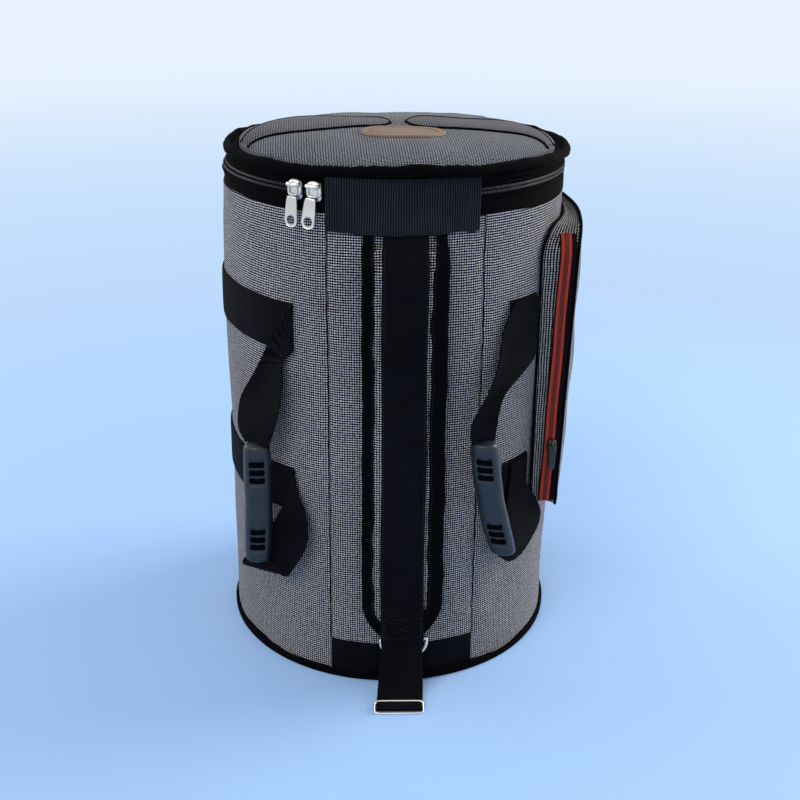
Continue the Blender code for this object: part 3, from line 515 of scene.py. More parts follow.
def smooth_step(tree, value, low, high):
    """Nought below low and one above high, with a soft turn between them."""
    node = tree.nodes.new("ShaderNodeMapRange")
    node.interpolation_type = "SMOOTHSTEP"
    for socket, number in zip(node.inputs[:3], (value, low, high)):
        wire(tree, number, socket)
    return node.outputs[0]


def noise(tree, vector, scale, detail=2.0):
    """Soft noise from nought to one."""
    node = tree.nodes.new("ShaderNodeTexNoise")
    node.inputs["Scale"].default_value = scale
    node.inputs["Detail"].default_value = detail
    tree.links.new(vector, node.inputs["Vector"])
    return node.outputs["Fac"]


def blend_colours(tree, share, first, second):
    """A colour between two, by a share."""
    node = tree.nodes.new("ShaderNodeMix")
    node.data_type = "RGBA"
    wire(tree, share, node.inputs["Factor"])
    wire(tree, first, node.inputs["A"])
    wire(tree, second, node.inputs["B"])
    return node.outputs["Result"]


def coordinates(tree, vector):
    """The three numbers of a vector."""
    node = tree.nodes.new("ShaderNodeSeparateXYZ")
    tree.links.new(vector, node.inputs[0])
    return node.outputs


def uneven(tree, vector, scale, amount, detail=2.0):
    """Noise about nought, up to half the amount to either side."""
    centred = calculate(tree, "SUBTRACT", noise(tree, vector, scale, detail), 0.5)
    return calculate(tree, "MULTIPLY", centred, amount)


def folded_wave(tree, shape, place, pitch, shift):
    """A sine or cosine wave along a coordinate without its sign, so that each pitch has one hump."""
    turns = calculate(tree, "ADD", calculate(tree, "DIVIDE", place, pitch), shift)
    return calculate(tree, "ABSOLUTE", calculate(tree, shape, calculate(tree, "MULTIPLY", turns, pi)))


def new_group(name, outputs, **defaults):
    """An empty shader node group that takes a vector and some numbers, and gives numbers."""
    tree = bpy.data.node_groups.new(name, "ShaderNodeTree")
    tree.interface.new_socket(name="Vector", in_out="INPUT", socket_type="NodeSocketVector")
    for label, default in defaults.items():
        socket = tree.interface.new_socket(name=label, in_out="INPUT", socket_type="NodeSocketFloat")
        socket.default_value = default
    for label in outputs:
        tree.interface.new_socket(name=label, in_out="OUTPUT", socket_type="NodeSocketFloat")
    given = tree.nodes.new("NodeGroupInput").outputs
    return tree, given["Vector"], given, tree.nodes.new("NodeGroupOutput").inputs


# %% Basket weave of light and dark yarn
WEAVE_PITCH = 0.0020


def build_weave():
    """Rows of short light dashes on a dark ground.

    A dash shows where a cosine wave along the row and one across it both stand high, each passed
    through a soft step. Noise lengthens and thins the dashes, and shifts the rows very slightly.
    """
    tree, vector, given, made = new_group("Basket weave", ("Light", "Height"), Pitch=WEAVE_PITCH)
    place = coordinates(tree, vector)
    shift = uneven(tree, vector, 90.0, 0.4, detail=1.0)
    thinning = uneven(tree, vector, 420.0, 0.6)
    steps = []
    for axis, low, high in ((0, 0.44, 0.62), (1, 0.64, 0.80)):
        wave = folded_wave(tree, "COSINE", place[axis], given["Pitch"], shift)
        steps.append(smooth_step(tree, calculate(tree, "ADD", wave, thinning), low, high))
    light = calculate(tree, "MULTIPLY", steps[0], steps[1])
    ground = calculate(tree, "MULTIPLY", steps[1], 0.35)
    tree.links.new(light, made["Light"])
    tree.links.new(calculate(tree, "ADD", light, ground), made["Height"])
    return tree


WEAVE = build_weave()

# %% Ribbed webbing


def build_ribs():
    """Ribs along the first coordinate and finer yarn along the second: two folded sine waves."""
    tree, vector, given, made = new_group("Webbing ribs", ("Mask", "Height"), Rib=0.0016, Yarn=0.0007)
    place = coordinates(tree, vector)
    wobble = uneven(tree, vector, 240.0, 0.5)
    rib = folded_wave(tree, "SINE", place[1], given["Rib"], wobble)
    yarn = folded_wave(tree, "SINE", place[0], given["Yarn"], wobble)
    height = calculate(tree, "ADD", rib, calculate(tree, "MULTIPLY", yarn, 0.4))
    rough = calculate(tree, "ADD", calculate(tree, "MULTIPLY", yarn, 0.6), noise(tree, vector, 1500.0))
    mask = calculate(tree, "MULTIPLY", calculate(tree, "POWER", rib, 2.0), rough)
    tree.links.new(mask, made["Mask"])
    tree.links.new(height, made["Height"])
    return tree


RIBS = build_ribs()

# %% Slow fading, and grain


def build_fading():
    """A factor near one that wanders slowly over the piece, from two scales of noise."""
    tree, vector, given, made = new_group("Fading", ("Factor",), Amount=0.2)
    both = calculate(tree, "ADD", noise(tree, vector, 9.0), noise(tree, vector, 55.0, 4.0))
    change = calculate(tree, "MULTIPLY", calculate(tree, "SUBTRACT", both, 1.0), given["Amount"])
    tree.links.new(calculate(tree, "ADD", 1.0, change), made["Factor"])
    return tree


def build_grain():
    """Pebbled grain: the distance to the nearest of many scattered points, broken up by noise."""
    tree, vector, given, made = new_group("Grain", ("Height", "Mask"), Scale=900.0)
    cells = tree.nodes.new("ShaderNodeTexVoronoi")
    tree.links.new(vector, cells.inputs["Vector"])
    tree.links.new(given["Scale"], cells.inputs["Scale"])
    away = cells.outputs["Distance"]
    fine = calculate(tree, "MULTIPLY", noise(tree, vector, 2500.0, 3.0), 0.5)
    tree.links.new(calculate(tree, "ADD", away, fine), made["Height"])
    tree.links.new(smooth_step(tree, away, 0.1, 0.6), made["Mask"])
    return tree


FADING = build_fading()
GRAIN = build_grain()
print("shader groups", [group.name for group in bpy.data.node_groups])

# %% [markdown]
# A material is then one Principled shader fed by those groups. Numbers that are the same all over, such
# as the sheen of wool or the coat of a lacquer, are set on the shader itself.

# %% Materials
MATT_ABOVE = 0.65
MATT_SPECULAR = 0.03


def place_group(tree, group, vector, **values):
    """The group as a node, read at a vector, with its other inputs set."""
    node = tree.nodes.new("ShaderNodeGroup")
    node.node_tree = group
    tree.links.new(vector, node.inputs["Vector"])
    for name, value in values.items():
        node.inputs[name].default_value = value
    return node.outputs


def start_material(name, roughness, metallic=0.0, sheen=0.0, coat=0.0):
    """A material, its tree and shader inputs, the place in metres along the cloth and that in the object."""
    material = bpy.data.materials.new(name)
    material.use_nodes = True
    tree = material.node_tree
    surface = tree.nodes["Principled BSDF"].inputs
    settings = {"Roughness": roughness, "Metallic": metallic, "Sheen Weight": sheen, "Sheen Roughness": 0.45,
                "Coat Weight": coat, "Coat Roughness": 0.15}
    if roughness > MATT_ABOVE:
        settings["Specular IOR Level"] = MATT_SPECULAR
    for label, value in settings.items():
        surface[label].default_value = value
    along = tree.nodes.new("ShaderNodeUVMap")
    along.uv_map = "metres"
    body = tree.nodes.new("ShaderNodeTexCoord")
    return material, tree, surface, along.outputs["UV"], body.outputs["Object"]


def finish(tree, surface, colour, body, fading, height, depth, strength):
    """Feeds the shader a slowly fading colour and a relief of a depth in metres, and gives the fading."""
    fade = place_group(tree, FADING, body, Amount=fading)["Factor"]
    shade = tree.nodes.new("ShaderNodeVectorMath")
    shade.operation = "SCALE"
    wire(tree, colour[:3] if isinstance(colour, tuple) else colour, shade.inputs[0])
    wire(tree, fade, shade.inputs["Scale"])
    tree.links.new(shade.outputs[0], surface["Base Color"])
    relief = tree.nodes.new("ShaderNodeBump")
    relief.inputs["Distance"].default_value = depth
    relief.inputs["Strength"].default_value = strength
    tree.links.new(height, relief.inputs["Height"])
    tree.links.new(relief.outputs["Normal"], surface["Normal"])
    return fade


def rotated(tree, vector, angle):
    """A place turned about nought."""
    node = tree.nodes.new("ShaderNodeMapping")
    node.inputs["Rotation"].default_value = (0.0, 0.0, angle)
    tree.links.new(vector, node.inputs["Vector"])
    return node.outputs[0]


def grey(value, blue=1.0):
    """A nearly neutral colour with a share more or less blue."""
    return (value, value, value * blue, 1.0)


def paler(colour, times):
    """A colour some times as bright, with no channel above one."""
    return tuple(min(1.0, channel * times) for channel in colour[:3]) + (1.0,)


def tweed(name, light=(0.68, 0.62, 0.615), dark=0.004, turned=0.0, from_body=False):
    """Grey basket-weave cloth; turned rotates the weave, from_body reads it off the object's x and z."""
    material, tree, surface, along, body = start_material(name, 0.85, sheen=0.15)
    if from_body:
        place = coordinates(tree, body)
        joined = tree.nodes.new("ShaderNodeCombineXYZ")
        tree.links.new(place[0], joined.inputs[0])
        tree.links.new(place[2], joined.inputs[1])
        along = joined.outputs[0]
    weave = place_group(tree, WEAVE, rotated(tree, along, turned), Pitch=WEAVE_PITCH)
    colour = blend_colours(tree, weave["Light"], grey(dark, 1.7), light + (1.0,))
    finish(tree, surface, colour, body, 0.35, weave["Height"], 0.0006, 0.9)
    return material


def webbing(name, rib=0.0016, yarn=0.0007, dark=0.0012, light=0.0085, turned=0.0):
    """Black ribbed webbing; its ribs lie across the strap unless turned."""
    material, tree, surface, along, body = start_material(name, 0.72)
    ribs = place_group(tree, RIBS, rotated(tree, along, turned), Rib=rib, Yarn=yarn)
    colour = blend_colours(tree, ribs["Mask"], grey(dark, 1.35), grey(light, 1.3))
    finish(tree, surface, colour, body, 0.8, ribs["Height"], 0.0003, 0.7)
    return material


def plain_cloth(name, colour, scale, sheen=0.1):
    """Closely woven cloth or tape whose yarns, scale of them to a metre, only show as a fine grain."""
    material, tree, surface, along, body = start_material(name, 0.85, sheen=sheen)
    ribs = place_group(tree, RIBS, along, Rib=1.0 / scale, Yarn=1.0 / scale)
    mixed = blend_colours(tree, ribs["Mask"], colour, paler(colour, 1.7))
    finish(tree, surface, mixed, body, 0.5, ribs["Height"], 0.00015, 0.8)
    return material


def moulded(name, colour, rough, scale, depth, coat=0.0, amount=0.4):
    """Rubber, plastic, foam or leather with pebbled grain and an uneven shine."""
    material, tree, surface, _, body = start_material(name, rough, coat=coat)
    grain = place_group(tree, GRAIN, body, Scale=scale)
    mixed = blend_colours(tree, grain["Mask"], paler(colour, 1.35), colour)
    fade = finish(tree, surface, mixed, body, amount, grain["Height"], depth, 0.6)
    tree.links.new(calculate(tree, "MULTIPLY", fade, rough), surface["Roughness"])
    return material


def plated(name, colour, rough):
    """Cast and plated metal: fine scratches in the shine and a slightly cloudy colour."""
    material, tree, surface, _, body = start_material(name, rough, metallic=1.0)
    scratches = noise(tree, body, 1100.0, 5.0)
    finish(tree, surface, colour, body, 0.35, scratches, 0.00008, 0.35)
    shine = calculate(tree, "ADD", calculate(tree, "MULTIPLY", scratches, 0.3), rough - 0.12)
    tree.links.new(shine, surface["Roughness"])
    return material


TWEED = tweed("grey tweed")
TWEED_PAD = tweed("grey tweed of the pad", from_body=True)
TWEED_POCKET = tweed("grey tweed of the pocket side", light=(0.52, 0.485, 0.485))
# The tongues' tweed is the same cloth made darker still: painted shade, as on the lid.
TWEED_TURNED_PAINTED_SHADE = tweed("grey tweed of the insets with painted shade", light=(0.23, 0.215, 0.235), dark=0.016, turned=radians(90))
# The lid's tweed is the walls' cloth made darker and bluer: painted shade, because the lid faces up into more
# lamp light than the walls.
TWEED_LID_PAINTED_SHADE = tweed("grey tweed of the lid with painted shade", light=(0.36, 0.385, 0.42), dark=0.010)
BLACK_WEBBING = webbing("black webbing")
# The hinge panel's webbing is the black webbing with much lighter rib crests: painted highlights on its ribs.
PANEL_WEBBING_PAINTED_HIGHLIGHT = webbing("black webbing of the hinge panel with painted highlights", rib=0.0019, yarn=0.0012, dark=0.002, light=0.032,
                        turned=radians(90))
BLACK_BINDING = plain_cloth("black binding", grey(0.0013, 1.4), scale=900.0, sheen=0.0)
LINING = plain_cloth("black lining", grey(0.022, 1.15), scale=900.0)
FOAM = moulded("grey foam", grey(0.33, 1.02), 0.95, 700.0, 0.0003)
BOARD = moulded("black board", grey(0.04), 0.5, 500.0, 0.0001)
ZIP_TAPE = plain_cloth("black zip tape", grey(0.0015, 1.3), scale=900.0, sheen=0.0)
ZIP_COIL = moulded("black zip coil", grey(0.030, 1.05), 0.42, 2000.0, 0.00004, coat=0.2)
BLACK_THREAD = plain_cloth("black thread", grey(0.012, 1.2), scale=4000.0)
NICKEL = plated("nickel plate", (0.74, 0.73, 0.71, 1.0), 0.34)
RUBBER = moulded("slate rubber", (0.007, 0.0120, 0.019, 1.0), 0.40, 1500.0, 0.00006)
SLOT_RUBBER = moulded("black rubber", grey(0.0012, 1.2), 0.8, 1500.0, 0.00006)
TAN_LEATHER = moulded("tan leather", (0.19, 0.125, 0.085, 1.0), 0.6, 1300.0, 0.0002, amount=0.8)
TAN_THREAD = plain_cloth("tan thread", (0.42, 0.32, 0.21, 1.0), scale=4000.0)
BORDER_TAPE = plain_cloth("black pocket tape", (0.006, 0.004, 0.006, 1.0), scale=1300.0, sheen=0.0)
RED_TAPE = plain_cloth("orange red stripe", (0.36, 0.036, 0.019, 1.0), scale=1300.0)
RED_COIL = moulded("dark red zip coil", (0.13, 0.007, 0.006, 1.0), 0.45, 2000.0, 0.00004)
BLACK_METAL = moulded("black lacquered metal", grey(0.003), 0.40, 1200.0, 0.00003, coat=0.15)
print("materials", len(bpy.data.materials))

# %% [markdown]
# ## Light, floor and camera
#
# A bag of black and grey cloth needs broad soft light, or its black webbing turns to a flat hole. Two
# large area lamps and a pale world do that. The floor stays a plain pale sheet that keeps the shadow.

# %% Floor, lamps and world
FLOOR_HALF = 40.0
FLOOR_COLOUR = (0.40, 0.62, 0.98, 1.0)
BETWEEN_COLOUR = (0.50, 0.70, 0.98, 1.0)
FAR_COLOUR = (0.80, 0.89, 0.99, 1.0)
MIRRORED_COLOUR = (0.80, 0.82, 0.86, 1.0)
WORLD_LIGHT = (0.473, 0.506, 0.55, 1.0)


def build_floor():
    """One large sheet just under the bag's base.

    Close to the bag it is lit like any surface and takes the shadow. Further back it turns, for the
    camera and for reflections, into a plain pale glow, as a backdrop that is lit by itself would.
    """
    mesh = bpy.data.meshes.new("floor")
    corners = [(x * FLOOR_HALF, y * FLOOR_HALF, 0.0) for x, y in ((-1, -1), (1, -1), (1, 1), (-1, 1))]
    mesh.from_pydata(corners, [], [(0, 1, 2, 3)])
    material = bpy.data.materials.new("pale floor")
    material.use_nodes = True
    tree = material.node_tree
    shader = tree.nodes["Principled BSDF"]
    shader.inputs["Base Color"].default_value = FLOOR_COLOUR
    shader.inputs["Roughness"].default_value = 0.5
    shader.inputs["Specular IOR Level"].default_value = 0.2
    place = tree.nodes.new("ShaderNodeTexCoord")
    distance = tree.nodes.new("ShaderNodeVectorMath")
    distance.operation = "LENGTH"
    tree.links.new(place.outputs["Object"], distance.inputs[0])
    away = distance.outputs["Value"]
    glow = tree.nodes.new("ShaderNodeEmission")
    far = smooth_step(tree, away, 0.5, 4.5)
    path = tree.nodes.new("ShaderNodeLightPath")
    shown = blend_colours(tree, far, BETWEEN_COLOUR, FAR_COLOUR)
    mirrored = path.outputs["Is Glossy Ray"]
    tree.links.new(blend_colours(tree, mirrored, shown, MIRRORED_COLOUR), glow.inputs["Color"])
    seen = calculate(tree, "MAXIMUM", path.outputs["Is Camera Ray"], mirrored)
    share = calculate(tree, "MULTIPLY", smooth_step(tree, away, 0.3, 1.15), seen)
    mixer = tree.nodes.new("ShaderNodeMixShader")
    tree.links.new(share, mixer.inputs[0])
    tree.links.new(shader.outputs[0], mixer.inputs[1])
    tree.links.new(glow.outputs[0], mixer.inputs[2])
    tree.links.new(mixer.outputs[0], tree.nodes["Material Output"].inputs["Surface"])
    mesh.materials.append(material)
    floor = bpy.data.objects.new("floor", mesh)
    bpy.context.scene.collection.objects.link(floor)


def area_lamp(name, place, target, size, power, colour):
    """A square soft lamp aimed at a point."""
    data = bpy.data.lights.new(name, "AREA")
    data.size = size
    data.energy = power
    data.color = colour
    lamp = bpy.data.objects.new(name, data)
    lamp.location = place
    lamp.rotation_euler = (Vector(target) - Vector(place)).to_track_quat("-Z", "Y").to_euler()
    bpy.context.scene.collection.objects.link(lamp)


def build_world():
    """A pale sky that lights softly and shows paler still to the camera."""
    world = bpy.data.worlds.new("pale studio")
    world.use_nodes = True
    tree = world.node_tree
    background = tree.nodes["Background"]
    path = tree.nodes.new("ShaderNodeLightPath")
    lit = blend_colours(tree, path.outputs["Is Glossy Ray"], WORLD_LIGHT, MIRRORED_COLOUR)
    tree.links.new(blend_colours(tree, path.outputs["Is Camera Ray"], lit, FAR_COLOUR),
                   background.inputs["Color"])
    bpy.context.scene.world = world


build_floor()
area_lamp("key", (-1.2, -1.8, 2.3), (0.0, 0.0, 0.2), size=1.8, power=31.0, colour=(1.0, 0.985, 0.97))
area_lamp("left rim", (-2.2, 0.9, 1.3), (0.0, 0.0, 0.25), size=1.4, power=18.0, colour=(1.0, 0.99, 0.96))
area_lamp("right rim", (2.2, 0.7, 1.2), (0.0, 0.0, 0.25), size=1.4, power=54.0, colour=(1.0, 0.97, 0.92))
build_world()
bpy.context.scene.view_settings.view_transform = "Standard"

# %% Camera
CAMERA_PLACE = Vector((-0.0674, -0.9467, 0.6022))
CAMERA_HEADING = Vector((0.0802, 0.9968, 0.0))
CAMERA_PITCH = radians(22.96)
CAMERA_ROLL = radians(0.6)
CAMERA_LENS = 50.84


def build_camera():
    """The photograph's view: a heading on the level, tilted down, then rolled about its own axis."""
    level = CAMERA_HEADING.normalized()
    ahead = level * cos(CAMERA_PITCH) - Vector(UP) * sin(CAMERA_PITCH)
    right = ahead.cross(Vector(UP)).normalized()
    above = right.cross(ahead)
    rolled_right = right * cos(CAMERA_ROLL) + above * sin(CAMERA_ROLL)
    rolled_above = above * cos(CAMERA_ROLL) - right * sin(CAMERA_ROLL)
    data = bpy.data.cameras.new("camera")
    data.lens = CAMERA_LENS
    data.sensor_width = 36.0
    camera = bpy.data.objects.new("camera", data)
    turned = Matrix((rolled_right, rolled_above, -ahead)).transposed()
    camera.matrix_world = Matrix.Translation(CAMERA_PLACE) @ turned.to_4x4()
    bpy.context.scene.collection.objects.link(camera)
    bpy.context.scene.camera = camera


build_camera()

# %% [markdown]
# ## The body
#
# The outside of the bag is sewn from a grey panel round the sides and back, a grey front panel, a black
# kick panel under it and a black band at the rim. All are skins of the same wall, so one function lays
# a fine grid on the wall between the angles and heights of the plain solid.

# %% Skins of the wall
FINE_STEP = 0.0032


def wall_grid(first, last, bottom, top, outset, rise_step=FINE_STEP, turn_step=FINE_STEP):
    """Angles and heights of a grid on the wall, and its points at an outset.

    bottom, top and outset may be functions: of the angle, and of angle and share of the height.
    """
    whole = last - first > 2 * pi - 0.001
    columns = int(np.ceil((last - first) * BASE_RADIUS / turn_step)) + (0 if whole else 1)
    turns = np.linspace(first, last, columns, endpoint=not whole)
    low = bottom(turns) if callable(bottom) else np.full(columns, bottom)
    high = top(turns) if callable(top) else np.full(columns, top)
    rows = max(3, int(np.ceil((high - low).max() / rise_step)) + 1)
    share = np.linspace(0.0, 1.0, rows)[:, None]
    heights = low + (high - low) * share
    angles = np.broadcast_to(turns, heights.shape)
    lift = outset(angles, share, heights) if callable(outset) else outset
    return on_wall(angles, heights, lift), whole


def wall_skin(name, material, node, body, slot, inner, outer, bottom=None, top=None, **steps):
    """A skin of the wall in the place of a plain solid, between two outsets."""
    first, last, low, high = span(node)
    low = low if bottom is None else bottom
    high = high if top is None else top
    front, whole = wall_grid(first, last, low, high, outer, **steps)
    back, _ = wall_grid(first, last, low, high, inner, **steps)
    piece = shell(name, material, front, back, wrap=whole)
    return dress(piece, body, slot, node)


wall_skin("side_wall_cloth", TWEED, "side_wall", "body", "grey_tweed", -FABRIC, 0.0)
wall_skin("front_panel_cloth", TWEED, "front_panel", "body", "grey_tweed", -FABRIC, 0.0)
wall_skin("kick_panel_cloth", BLACK_WEBBING, "kick_panel", "body", "black_webbing", -FABRIC, 0.0002)
wall_skin("wall_foam", FOAM, "wall_padding", "body", "foam", -0.0104, -0.0019, turn_step=0.012,
          rise_step=0.02)
wall_skin("inner_lining_cloth", LINING, "inner_lining", "body", "lining_cloth", -0.0115, -0.0107,
          turn_step=0.006, rise_step=0.01)
print("wall cloth laid")


def seam_shade_cord(name, angle):
    """A thin black cord that wanders with the sewing, laid in the groove of a seam beside the front panel:
    painted shade that darkens the seam's crease.
    """
    low, high = span("front_panel")[2:]
    rise = np.linspace(low, high, 240)
    turn = angle + 0.0030 * np.sin(rise * 31 + angle * 9) + 0.0014 * np.sin(rise * 170)
    path = on_wall(turn, rise, -0.0001)
    dress(tube(name, BLACK_BINDING, path, 0.0005, sides=8), "body", "black_binding")


# Black cords in the seams beside the front panel: painted shade in their creases.
seam_shade_cord("front_seam_shade_left", LEFT_SEAM)
seam_shade_cord("front_seam_shade_right", RIGHT_SEAM)

# %% [markdown]
# The band at the rim is a folded strip with soft edges. Its outset bulges in the middle and its lower
# edge wanders by a millimetre, as hand-guided sewing leaves it.

# %% Rim band and the foot's binding


def wavy(amount, waves, phase=0.0):
    """A level that wanders round the bag: two sine waves of the angle."""
    def level(turn):
        second = np.sin((2 * waves + 3) * turn + 1.3 + phase)
        return amount * (0.7 * np.sin(waves * turn + phase) + 0.5 * second)
    return level


def cushion(low_outset, high_outset):
    """An outset that is low at both edges of a strip and high between them."""
    def outset(angle, share, height):
        hump = np.sqrt(limited(1 - (2 * share - 1) ** 6))
        return low_outset + (high_outset - low_outset) * hump + 0 * angle
    return outset


band_low, band_high = span("body_band")[2:]
band_edge = wavy(0.0008, 4)


def band_outset(angle, share, height):
    """The band's face: a cushion, flatter at the bag's left side."""
    return cushion(-0.0002, 0.0005)(angle, share, height) - 0.0015 * limited(-np.sin(angle)) ** 2


def band_foot(turn):
    """The band's lower edge, which hangs lower at the bag's right side."""
    return band_low - 0.0006 + band_edge(turn) - 0.0040 * limited(np.sin(turn)) ** 0.5


wall_skin("body_band_cloth", BLACK_BINDING, "body_band", "body", "black_webbing", -FABRIC, band_outset,
          bottom=band_foot, top=band_high, rise_step=0.001)
foot_edge = wavy(0.0017, 5, 0.8)
foot_high = span("base_binding")[3]
wall_skin("base_binding_trim", BLACK_BINDING, "base_binding", "body", "black_binding", 0.0001,
          cushion(0.0004, 0.0029), top=lambda turn: foot_high + 0.0012 + foot_edge(turn),
          rise_step=0.0007, turn_step=0.0025)


def flat_places(grid):
    """Places in metres read straight down: x and y of the points."""
    return closed_rings(grid)[..., :2]


def flat_disc(name, material, node, body, slot, radius, puff=0.0):
    """A flat layer in the place of a plain disc, its upper face crowned by puff; radius may be a function."""
    points = node_points(node)
    low, high = points[:, 2].min(), points[:, 2].max()
    turn = full_turn(120)
    radius = radius(turn) if callable(radius) else radius
    share = np.array([0.05, 0.2, 0.35, 0.5, 0.65, 0.8, 0.92, 0.985, 1.0])[:, None]
    x, y = radius * share * np.sin(turn), -radius * share * np.cos(turn)
    crown = puff * (1 - share ** 2) + 0 * turn
    top = np.stack([x, y, high + crown], axis=-1)
    under = np.stack([x, y, low + 0 * crown], axis=-1)
    disc = shell(name, material, top, under, wrap=True, pole=True, places=flat_places(top))
    return dress(disc, body, slot, node)


BASE_INSIDE = BASE_RADIUS - 0.0118
for name, material, node, slot, radius, puff in (
        ("base_panel_cloth", BLACK_WEBBING, "base_panel", "black_webbing", BASE_RADIUS, 0.0),
        ("base_foam_pad", FOAM, "base_foam", "foam", BASE_INSIDE, 0.0),
        ("base_stiff_board", BOARD, "base_board", "board", BASE_INSIDE, 0.0),
        ("base_lining_cloth", LINING, "base_lining", "lining_cloth", BASE_INSIDE, 0.0006)):
    flat_disc(name, material, node, "body", slot, radius, puff)

# %% [markdown]
# ## The lid
#
# The lid is a shallow dome of foam under tweed, with a fat piping round its rim. A subdivided cylinder
# would do, but the crown's formula is known, so rings of points are computed from it. The place in
# metres is simply the flat x and y, as the cloth is one flat cut stretched over the foam.

# %% Dome
LID_TOP = 0.4525
LID_REAR_FALL = 0.07
LID_EDGE = 0.4395
LID_CROWN_POWER = 3.4
PIPING_CENTRE = 0.43575
PIPING_FRONT_REACH = 0.1437
DOME_INSIDE_PIPING = 0.0037
DOME_GAP = 0.0060
DOME_FULLNESS = 0.72
LID_LAYER_INSET = 0.0042


def piping_reach(turn):
    """How far out the piping lies: the lid sits a little to the right and is narrowest at its left."""
    return 0.1403 + 0.00235 * np.cos(turn) + 0.00375 * np.sin(turn) + 0.00105 * np.cos(2 * turn)


def dome_reach(turn):
    """How far out the dome's cloth goes: up to the piping in front, and a gap short of it elsewhere."""
    return piping_reach(turn) - DOME_INSIDE_PIPING - DOME_GAP * (1 - limited(np.cos(turn)) ** 2)


def rim_wave(turn):
    """How the rim sinks towards the back and waves round the lid, in metres."""
    sink = -0.0032 * np.minimum(1.0, 1.6 * np.sin(turn / 2) ** 2)
    return (sink + 0.0008 * np.sin(3 * turn + 0.4) + 0.0007 * np.sin(7 * turn + 1.9)
            + 0.0003 * np.sin(13 * turn))


def dome_height(x, y):
    """Height of the lid's cloth: a flat crown that drops near the rim, with slow waves on it."""
    turn = np.arctan2(x, -y)
    share = np.minimum(np.sqrt(x * x + y * y) / dome_reach(turn), 1.0)
    edge = LID_EDGE + rim_wave(turn)
    top = LID_TOP - LID_REAR_FALL * np.maximum(y, 0.0)
    waves = 0.0006 * np.sin(38 * x + 0.7) * np.sin(46 * y + 1.1) + 0.0003 * np.sin(90 * x + 60 * y)
    return edge + (top - edge) * (1 - share ** LID_CROWN_POWER) ** DOME_FULLNESS + waves * (1 - share ** 4)


def dome_rings(drop, inset, rim_height):
    """Rings of the lid's face lowered by drop and drawn in by inset, then down to the rim's height."""
    turn = full_turn(288)
    shares = np.concatenate([[0.02], np.linspace(0.06, 0.9, 40), np.linspace(0.915, 1.0, 12)])[:, None]
    reach = (dome_reach(turn) - inset) * shares
    x, y = reach * np.sin(turn), -reach * np.cos(turn)
    crown = np.stack([x, y, dome_height(x, y) - drop], axis=-1)
    edge = crown[-1]
    steps = np.linspace(0.0, 1.0, 6)[1:, None, None]
    foot = np.stack([edge[:, 0], edge[:, 1], rim_height + rim_wave(turn)], axis=-1)
    skirt = edge + (foot - edge) * steps
    return np.concatenate([crown, skirt])


def radial_places(grid):
    """Places in metres measured along the cloth from the middle outwards, so steep rows keep their weave."""
    around = closed_rings(grid)
    flat = around[0, :, :2]
    run = np.cumsum(np.linalg.norm(np.diff(around, axis=0), axis=2), axis=0)
    reach = np.linalg.norm(flat, axis=1) + np.concatenate([0 * run[:1], run])
    return reach[..., None] * unit(flat)


dome = dome_rings(0.0, 0.0, PIPING_CENTRE)
# The lid's cloth has painted shade in its colour.
dress(shell("lid_cloth", TWEED_LID_PAINTED_SHADE, dome, dome_rings(FABRIC, FABRIC, PIPING_CENTRE), wrap=True,
            pole=True, places=radial_places(dome)), "lid", "grey_tweed", "lid_cover")


def build_lid_foam():
    """The foam under the lid's cloth, flat below."""
    low = node_points("lid_padding")[:, 2].min()
    top = dome_rings(FABRIC + GAP, LID_LAYER_INSET, low + 0.004)[::3]
    under = top.copy()
    under[..., 2] = low
    under[-1, :, :2] *= 0.999
    foam = shell("lid_foam", FOAM, top, under, wrap=True, pole=True, places=flat_places(top))
    dress(foam, "lid", "foam", "lid_padding")


build_lid_foam()
flat_disc("lid_lining_cloth", LINING, "lid_lining", "lid", "lining_cloth",
          lambda turn: dome_reach(turn) - LID_LAYER_INSET)

# %% Piping and lid band


def build_piping():
    """A fat cord in black binding, with the small lengthwise creases of cloth pulled round a bend."""
    turn = full_turn(360)
    front = limited(np.cos(turn)) ** 3
    rise = PIPING_CENTRE + rim_wave(turn) + 0.0010 * front + 0.0003 * np.sin(29 * turn)
    centre = outward(turn) * piping_reach(turn)[:, None] + UP * rise[:, None]
    size = (0.0036 + 0.0009 * front + 0.00025 * np.sin(9 * turn + 1) + 0.00015 * np.sin(23 * turn)
            + 0.00012 * np.sin(61 * turn) * np.sin(7 * turn))
    piece = tube("lid_piping_cord", BLACK_BINDING, centre, size, sides=20, closed=True)
    dress(piece, "lid", "black_binding", "lid_piping")


def build_flange():
    """The black strip that shows in the gap between the dome and the piping."""
    turn = full_turn(240)
    share = np.linspace(0.0, 1.0, 7)[:, None]
    near, far = dome_reach(turn) - 0.0012, piping_reach(turn) - 0.0010
    flat = outward(turn) * (near + (far - near) * share)[..., None]
    rise = (PIPING_CENTRE + rim_wave(turn) + 0.0008 * np.sin(pi * share))[..., None] * UP
    piece = shell("lid_flange_cloth", BLACK_BINDING, flat + rise, flat + rise - 0.0014 * UP, wrap=True)
    dress(piece, "lid", "black_binding")


build_piping()
build_flange()
LID_DRAW_START = 0.4180


def drawn_in(plain):
    """An outset that also follows the piping inwards, from nothing at the zip to all of it at the rim."""
    def outset(angle, share, height):
        rise = limited((height - LID_DRAW_START) / (PIPING_CENTRE - LID_DRAW_START))
        base = plain(angle, share, height) if callable(plain) else plain
        return base + (piping_reach(angle) - PIPING_FRONT_REACH) * rise ** 0.7
    return outset


wall_skin("lid_band_cloth", BLACK_BINDING, "lid_band", "lid", "black_webbing", drawn_in(-FABRIC),
          drawn_in(cushion(-0.0006, 0.0006)), rise_step=0.0008)

